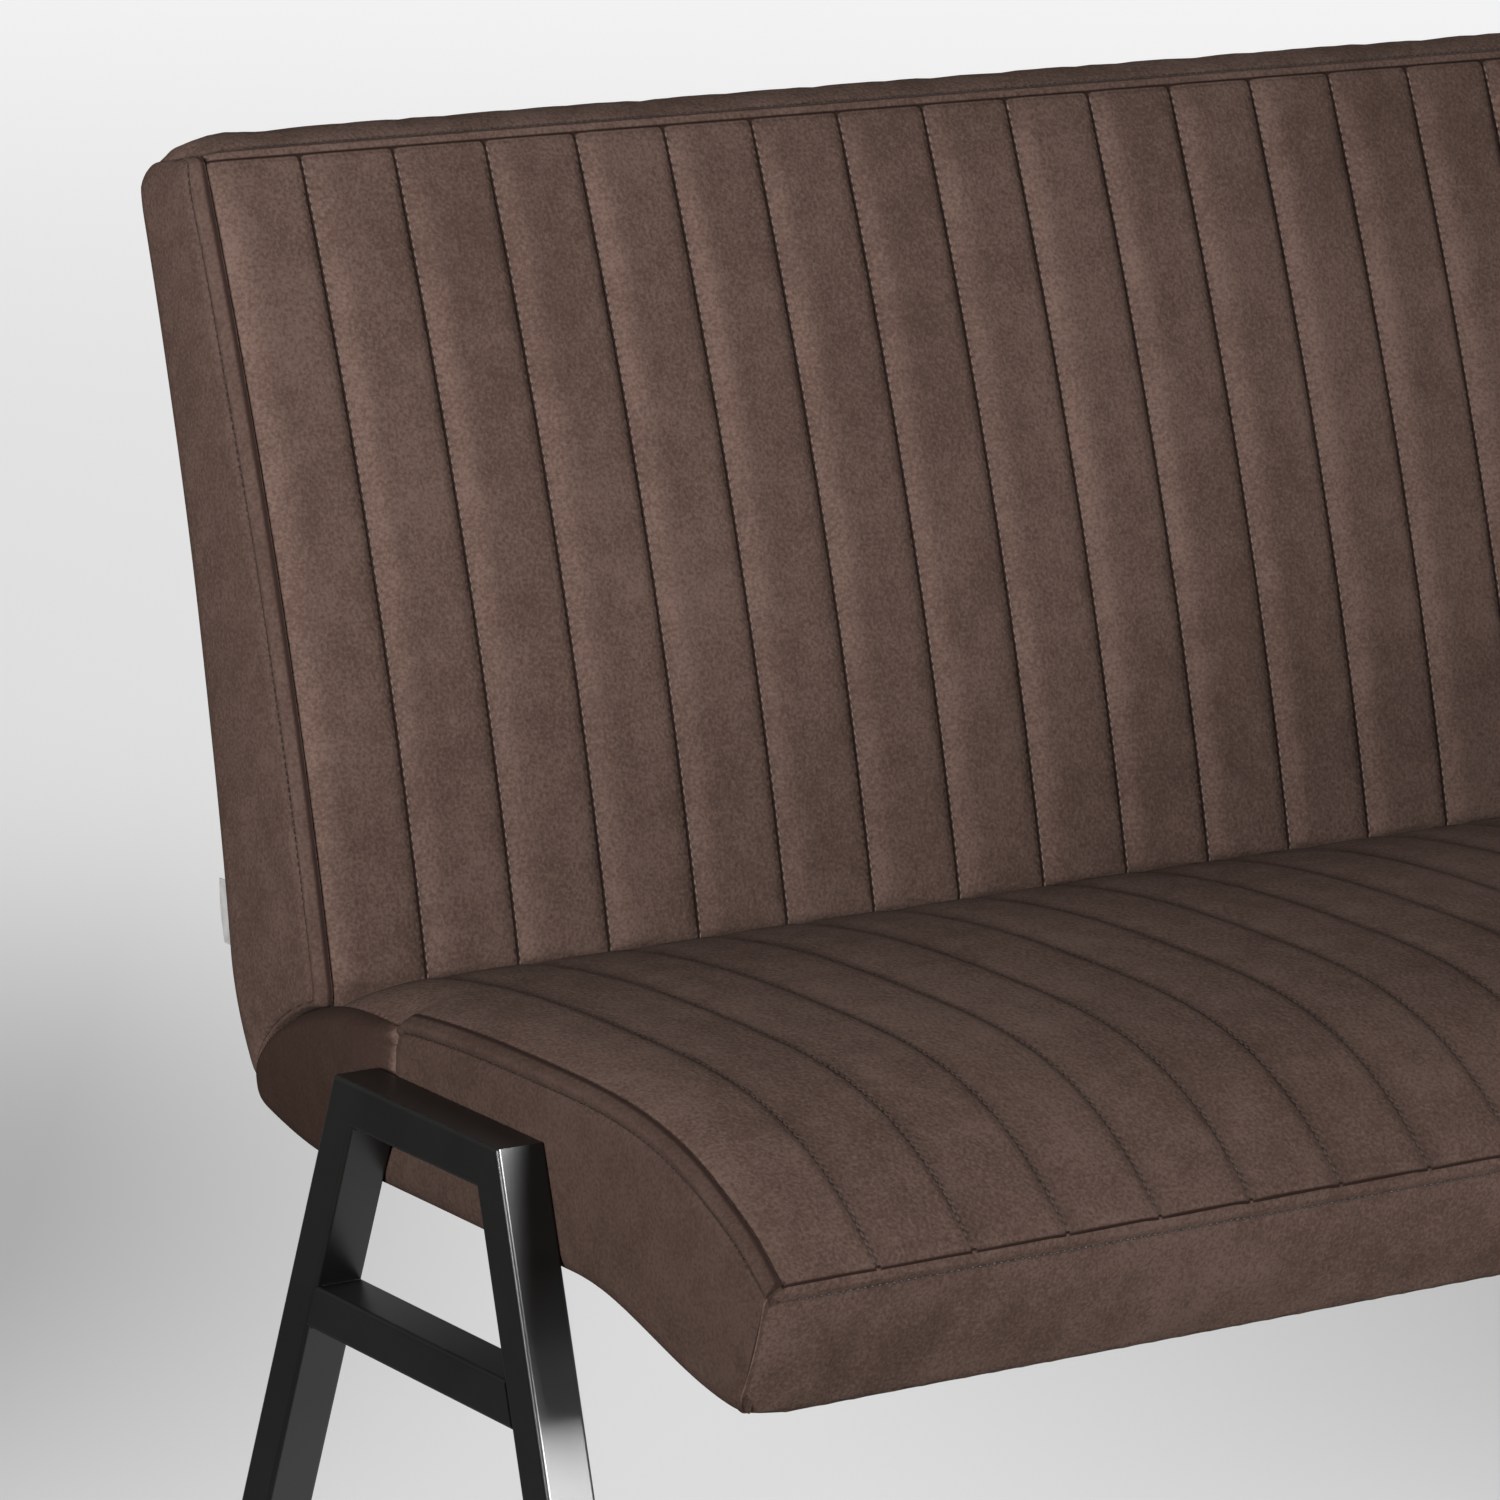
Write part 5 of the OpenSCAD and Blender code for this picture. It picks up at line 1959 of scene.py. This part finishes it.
    def rear_cover(self, finishes: Finishes) -> bpy.types.Object:
        """Makes the plain cover behind the back, down round the heel to the roll's tip.

        Args:
            finishes: the bench's materials.

        Returns:
            The finished object.
        """
        line = resampled(PROFILE.rear_line(PROFILE.corner_z, PROFILE.roll_tip, 300), 90, 0.2)
        run = arc_lengths(line)
        tangent = unit(np.gradient(line, axis=0))
        out = np.stack([-tangent[:, 1], tangent[:, 0]], axis=1)
        x = self._x()
        end = self._end(x)
        drawn = self.side_share * SEWING.dip(end)
        grid = PROFILE.place(x[None, :], line[:, 0:1], line[:, 1:2])
        shift = ripple(grid, 0.30, 0.0014, 23.0) * smooth(run / 0.03)[:, None]
        shift = shift - (SEWING.dip(run)[:, None] + drawn[None, :])
        along = (x - np.sign(x) * drawn)[None, :]
        outer = PROFILE.place(along, line[:, 0:1] + out[:, 0:1] * shift, line[:, 1:2] + out[:, 1:2] * shift)
        low = line - out * self.rear_t
        inner = PROFILE.place(x[None, :], low[:, 0:1], low[:, 1:2])
        sewing = sewing_map(np.minimum(run[:, None], end[None, :]), run[:, None], 1.0)
        cloth = ClothMesh("rear_cover_pad", outer, inner)
        return cloth.finish(finishes.suede, "back_rear_cover", sewing)

    def dust_cover(self, finishes: Finishes) -> bpy.types.Object:
        """Makes the thin cloth stretched under the seat and notes where its staples go.

        Args:
            finishes: the bench's materials.

        Returns:
            The finished object.
        """
        y = np.linspace(PROFILE.band_low_y + self.dust_front, PROFILE.roll_rear - self.dust_rear, 300)
        line = resampled(np.stack([y, PROFILE.under_z(y)], axis=1), 60)
        x = self._x()
        run = arc_lengths(line)
        edge = np.minimum(np.minimum(run, run[-1] - run)[:, None], self._end(x)[None, :])
        grid = PROFILE.place(x[None, :], line[:, 0:1], line[:, 1:2])
        rise = ripple(grid, 0.14, 0.0012, 31.0) * smooth(edge / 0.05) + self.dust_gap
        outer = PROFILE.place(x[None, :], line[:, 0:1], line[:, 1:2] + rise)
        inner = outer + np.array([0.0, 0.0, self.dust_t])
        piece = ClothMesh("dust_cover_cloth", outer, inner).finish(
            finishes.dust_cloth, "under_dust_cover"
        )
        down = np.array([0.0, 0.0, -1.0])
        for edge in (outer[1, 2:-2], outer[-2, 2:-2], outer[2:-2, 1], outer[2:-2, -2]):
            self.staples.add(edge + down * SEWING.thread_lift, np.tile(down, (len(edge), 1)))
        return piece

    def stitch(self, tree: bpy.types.NodeTree, finishes: Finishes) -> None:
        """Sews the topstitching of both bands and staples the dust cover."""
        self.topstitch.sew(tree, finishes.topstitch)
        self.staples.sew(tree, finishes.zinc, "zinc")


@dataclass
class HiddenPads:
    """Foam slabs and webbing that lie under the covers."""

    half_len: float = PROFILE.half_len
    cover_t: float = 0.016
    foam_t: float = 0.022
    foam_fill: float = 0.9
    gap: float = 0.0003
    bays: int = 4
    straps_in_bay: int = 3
    rib_t: float = 0.018
    strap_w: float = 0.050
    strap_t: float = 0.002
    strap_end: float = 0.004
    strap_rear: float = 0.012

    def straps(self, tree: bpy.types.NodeTree, finishes: Finishes) -> None:
        """Stretches the webbing under the foam of the seat and behind the foam of the back.

        Args:
            tree: the node tree that draws straps.
            finishes: the bench's materials.
        """
        bay = 2 * self.half_len / self.bays
        clear = bay - 2 * self.rib_t
        middles = [
            -self.half_len + b * bay + self.rib_t + clear * (i + 0.5) / self.straps_in_bay
            for b in range(self.bays)
            for i in range(self.straps_in_bay)
        ]
        depth = self.cover_t + self.foam_t + self.gap + self.strap_t / 2
        front, rear = -PROFILE.seat_front + self.strap_end, PROFILE.back_foot - self.strap_rear
        seat = PROFILE.seat_line(front, rear, 40)
        back = PROFILE.back_line(PROFILE.foot_z + self.strap_end, PROFILE.back_top - self.strap_end, 40)
        values = {"Width": self.strap_w, "Thickness": self.strap_t, "Material": finishes.webbing}
        for part, line in (
            ("seat", seat - PROFILE.seat_normal(seat[:, 0]) * depth),
            ("back", back - PROFILE.back_normal(back[:, 1]) * depth),
        ):
            lines = [PROFILE.place(x, line[:, 0], line[:, 1]) for x in middles]
            name = f"{part}_webbing"
            declare(baked(linked(name, line_mesh(name, lines)), tree, values), [f"{part}_straps"])

    def foam(self, finishes: Finishes) -> None:
        """Makes the seat's and the back's foam slab.

        Args:
            finishes: the bench's materials.
        """
        seat = PROFILE.seat_line(-PROFILE.seat_front, PROFILE.back_foot - self.gap, 60)
        back = PROFILE.back_line(PROFILE.foot_z, PROFILE.back_top, 60)
        x = np.linspace(-self.half_len, self.half_len, 30)
        for part, line, normal in (
            ("seat", seat, PROFILE.seat_normal(seat[:, 0])),
            ("back", back, PROFILE.back_normal(back[:, 1])),
        ):
            top = line - normal * (self.cover_t + self.gap)
            low = line - normal * (self.cover_t + self.foam_t)
            outer, inner = (PROFILE.place(x[None, :], face[:, 0:1], face[:, 1:2]) for face in (top, low))
            slab = ClothMesh(f"{part}_foam_slab", outer, inner)
            slab.finish(finishes.foam, f"{part}_foam")


@dataclass
class LegFrames:
    """Welded steel frames at the two ends, with their glides and fasteners."""

    tube_x: float = 0.030
    tube_w: float = 0.025
    rail_len: float = 0.158
    lean_deg: float = 17.8
    crossbar_drop: float = 0.121
    inner_face: float = 0.8783
    bead: float = 0.0014
    bead_end: float = 0.003

    def dress(self, finishes: Finishes) -> None:
        """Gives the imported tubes, glides and fasteners their finishes.

        Args:
            finishes: the bench's materials.
        """
        finish_by_word = {
            "insert_nuts": finishes.zinc,
            "frame_bolts": finishes.zinc,
            "bolt_washers": finishes.zinc,
            "rail_screws": finishes.zinc,
            "foot_glides": finishes.glide,
            "_rail": finishes.timber,
            "_rib": finishes.plywood,
        }
        for name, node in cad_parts.items():
            steel = name.endswith(("_leg", "_crossbar", "_top_rail")) and name.startswith(("left_", "right_"))
            named = next((m for word, m in finish_by_word.items() if word in name), finishes.suede)
            paint(node, finishes.steel if steel else named)

    def welds(self, tree: bpy.types.NodeTree, finishes: Finishes) -> None:
        """Makes the small fillet beads where the crossbar and the rail meet the legs.

        Args:
            tree: the node tree that draws beads.
            finishes: the bench's materials.
        """
        lean = math.radians(self.lean_deg)
        ends = np.array([self.inner_face + self.bead_end, self.inner_face + self.tube_x - self.bead_end])
        for side in Side:
            lines = []
            for z in (-self.crossbar_drop, -self.crossbar_drop - self.tube_w, -self.tube_w):
                inner_y = self.rail_len / 2 - z * math.tan(lean) - self.tube_w / math.cos(lean)
                lines += [PROFILE.place(side.value * ends, sign * inner_y, z) for sign in (-1, 1)]
            name = f"{side.word}_frame_welds"
            values = {"Radius": self.bead, "Material": finishes.steel}
            declare(baked(linked(name, line_mesh(name, lines)), tree, values))


@dataclass
class SeamTab:
    """Small blank tab of folded tape in the rear seam of the left end."""

    half_len: float = PROFILE.half_len
    middle_z: float = 0.044
    height: float = 0.035
    reach: float = 0.010
    thickness: float = 0.0012
    sunk: float = 0.001
    curl: float = 0.0008
    fold_share: float = 0.4
    fold: float = 0.25

    def build(self, finishes: Finishes) -> bpy.types.Object:
        """Makes the tab, folded at its free edge and slightly curled.

        Args:
            finishes: the bench's materials.

        Returns:
            The finished object.
        """
        z = np.linspace(self.middle_z - self.height / 2, self.middle_z + self.height / 2, 18)[:, None]
        u = np.linspace(0, 1, 14)[None, :]
        y = PROFILE.rear_y(z) - self.sunk + (self.reach + self.sunk) * u
        curl = -self.curl * u**2 * np.cos(np.pi * (z - self.middle_z) / self.height)
        half = self.thickness / 2 * (1 - self.fold_share + self.fold_share * quarter(1 - u, self.fold))
        outer, inner = (PROFILE.place(-self.half_len + curl + sign * half, y, z) for sign in (-1, 1))
        return ClothMesh("blank_seam_tab", outer, inner).finish(finishes.tape, "blank_label")


@dataclass(frozen=True)
class Lamp:
    """A soft lamp: where it hangs, what it points at, its size, its power in watts and its spread.

    Its shape is a square, or a rectangle if it has a size across. A card shows in reflections only.
    """

    name: str
    place: Place
    aim: Place
    size: float
    power: float
    spread_deg: float = 180.0
    across: float = 0.0
    card: bool = False

    def hang(self) -> None:
        """Puts the lamp into the scene."""
        data = bpy.data.lights.new(self.name, "AREA")
        data.shape = "RECTANGLE" if self.across else "SQUARE"
        data.size = self.size
        if self.across:
            data.size_y = self.across
        data.energy = self.power
        data.spread = math.radians(self.spread_deg)
        lamp = bpy.data.objects.new(self.name, data)
        lamp.location = self.place
        lamp.rotation_mode = "QUATERNION"
        lamp.rotation_quaternion = (Vector(self.aim) - Vector(self.place)).to_track_quat("-Z", "Y")
        lamp.visible_camera = False
        lamp.visible_diffuse = not self.card
        bpy.context.scene.collection.objects.link(lamp)


@dataclass
class Studio:
    """Floor, lamps, surroundings and camera."""

    floor_half: float = 30.0
    yaw_deg: float = 35.547
    pitch_deg: float = 13.722
    roll_deg: float = 1.971
    focal_px: float = 8006.6
    frame_px: float = 1500.0
    sensor: float = 36.0
    camera_x: float = -3.1068
    camera_y: float = -3.4028
    camera_z: float = 1.617
    # Sizes of the floor's painted shade: the darker ring behind the bench and the level that rises with
    # distance.
    pool_aside: float = 0.58
    pool_edge: float = 0.01
    pool_wide: float = 0.78
    pool_tilt: float = 0.22
    dim_ahead: float = 0.65
    dim_spread: float = 0.80
    dim_depth: float = 0.70
    dim_limit: float = 0.46
    near_ahead: float = 1.0
    near_level: float = 0.71
    far_ahead: float = 7.0
    far_level: float = 1.0
    glow: float = 0.85
    matt: float = 0.30
    mirrored: float = 0.20
    ambient: float = 0.12
    lamps: tuple[Lamp, ...] = (
        Lamp("key_lamp", (-2.98, -1.43, 1.15), (-0.60, 0.0, 0.98), 0.8, 22.5, spread_deg=62.0),
        Lamp("top_lamp", (1.1, 1.7, 2.9), (0.0, 0.0, 0.4), 1.8, 42),
        Lamp("rear_lamp", (0.3, 3.2, 0.95), (0.0, 0.25, 0.66), 1.2, 2.2, spread_deg=62.0),
        Lamp("floor_board", (0.35, -0.92, 0.20), (0.0, -0.28, 0.41), 1.8, 4.2, spread_deg=110, across=0.26),
        Lamp("upper_card", (-0.20, -2.46, 1.25), (-0.89, -0.13, 0.42), 0.72, 660, card=True),
        Lamp("lower_card", (0.71, -2.77, 0.30), (-0.89, -0.25, 0.08), 0.40, 6, card=True),
        Lamp("under_card", (-0.66, -0.10, 0.01), (-0.66, -0.10, 1.0), 0.40, 0.5, card=True),
    )

    def camera(self) -> None:
        """Sets the camera where the photograph was taken."""
        yaw, pitch, roll = (math.radians(a) for a in (self.yaw_deg, self.pitch_deg, self.roll_deg))
        level = math.cos(pitch)
        ahead = Vector((math.sin(yaw) * level, math.cos(yaw) * level, -math.sin(pitch)))
        right = Vector((math.cos(yaw), -math.sin(yaw), 0))
        up = right.cross(ahead)
        turned = math.cos(roll) * right + math.sin(roll) * up
        above = -math.sin(roll) * right + math.cos(roll) * up
        data = bpy.data.cameras.new("camera")
        data.sensor_width = self.sensor
        data.lens = self.focal_px / self.frame_px * self.sensor
        data.clip_start, data.clip_end = 0.1, 100
        camera = bpy.data.objects.new("camera", data)
        camera.matrix_world = Matrix((
            (turned.x, above.x, -ahead.x, self.camera_x),
            (turned.y, above.y, -ahead.y, self.camera_y),
            (turned.z, above.z, -ahead.z, self.camera_z),
            (0, 0, 0, 1),
        ))
        bpy.context.scene.collection.objects.link(camera)
        bpy.context.scene.camera = camera

    def _seen(self, graph: Graph) -> bpy.types.NodeSocket:
        """Share of the surroundings' glow that a ray sees: all for the camera, less for a reflection."""
        rays = graph.node("ShaderNodeLightPath").outputs
        seen = graph.plus(rays["Is Camera Ray"], graph.times(rays["Is Glossy Ray"], self.mirrored))
        return graph.math("ADD", seen, rays["Is Transmission Ray"], clamp=True)

    def floor(self) -> None:
        """Makes the pale floor with painted shade: lighter far behind the bench, darker nearer and in a soft
        ring behind it.
        """
        h = self.floor_half
        mesh = bpy.data.meshes.new("studio_floor")
        mesh.from_pydata([(-h, -h, 0), (h, -h, 0), (h, h, 0), (-h, h, 0)], [], [(0, 1, 2, 3)])
        piece = linked("studio_floor", mesh)
        made = Surface("pale_floor")
        graph, plus, minus, times = made.graph, made.graph.plus, made.graph.minus, made.graph.times
        turn = (0, 0, math.radians(self.yaw_deg))
        turned = graph.node("ShaderNodeMapping", Vector=made.place, Rotation=turn)
        aside, ahead, _ = graph.axes(turned.outputs["Vector"])
        # Painted shade: a soft darker ring behind the bench, taken off the floor's level.
        off = plus(aside, self.pool_aside)
        wide = graph.math("SQRT", plus(times(off, off), self.pool_edge))
        off = minus(times(wide, self.pool_wide), times(off, self.pool_tilt))
        off = graph.math("MINIMUM", off, self.dim_limit)
        away = graph.math("DIVIDE", minus(ahead, self.dim_ahead), self.dim_spread)
        near = graph.math("EXPONENT", times(times(away, away), -1.0))
        painted_ring_shade = times(times(off, near), self.dim_depth)
        # Painted shade: the floor's level rises from near_level to far_level with distance behind the bench.
        plain = graph.ramp(ahead, self.near_ahead, self.far_ahead, self.near_level, self.far_level)
        level = minus(plain, painted_ring_shade)
        shade = graph.node("ShaderNodeCombineColor", Red=level, Green=level, Blue=level).outputs["Color"]
        material = made.dress(
            Emission_Color=shade,
            Emission_Strength=times(self._seen(graph), self.glow),
            Base_Color=graph.mix(self.matt, BLACK, shade),
            Roughness=0.9,
            Specular_IOR_Level=0.1,
        )
        paint(piece, material)

    def world(self) -> None:
        """Sets the pale surroundings."""
        world = bpy.data.worlds.new("studio")
        world.use_nodes = True
        graph = Graph(world.node_tree)
        colour = (self.far_level, self.far_level, self.far_level, 1)
        strength = graph.math("MULTIPLY_ADD", self._seen(graph), 1.0 - self.ambient, self.ambient)
        graph.fill(world.node_tree.nodes["Background"], Color=colour, Strength=strength)
        bpy.context.scene.world = world

    def build(self) -> None:
        """Makes everything round the bench."""
        self.camera()
        self.floor()
        self.world()
        for lamp in self.lamps:
            lamp.hang()
        bpy.context.scene.view_settings.view_transform = "Standard"


def main() -> None:
    """Builds the studio and every piece of the bench, in order."""
    logging.basicConfig(level=logging.INFO, format="%(message)s")
    Studio().build()
    finishes = Finishes()
    stitches, beads = stitch_tree(), bead_tree()
    legs = LegFrames()
    legs.dress(finishes)
    legs.welds(beads, finishes)
    for cover, thread in ((SeatCover(), finishes.painted_shade_seat_thread), (BackCover(), finishes.thread)):
        cover.build(finishes)
        cover.stitch(stitches, thread)
    panels = EndPanels()
    for side in Side:
        panels.seat_panel(side, finishes)
        panels.back_band(side, finishes)
    panels.stitch(stitches, finishes)
    bands = LongBands()
    bands.front_band(finishes)
    bands.top_band(finishes)
    bands.rear_cover(finishes)
    bands.dust_cover(finishes)
    bands.stitch(stitches, finishes)
    pads = HiddenPads()
    pads.foam(finishes)
    pads.straps(webbing_tree(), finishes)
    SeamTab().build(finishes)


if __name__ == "__main__":
    main()
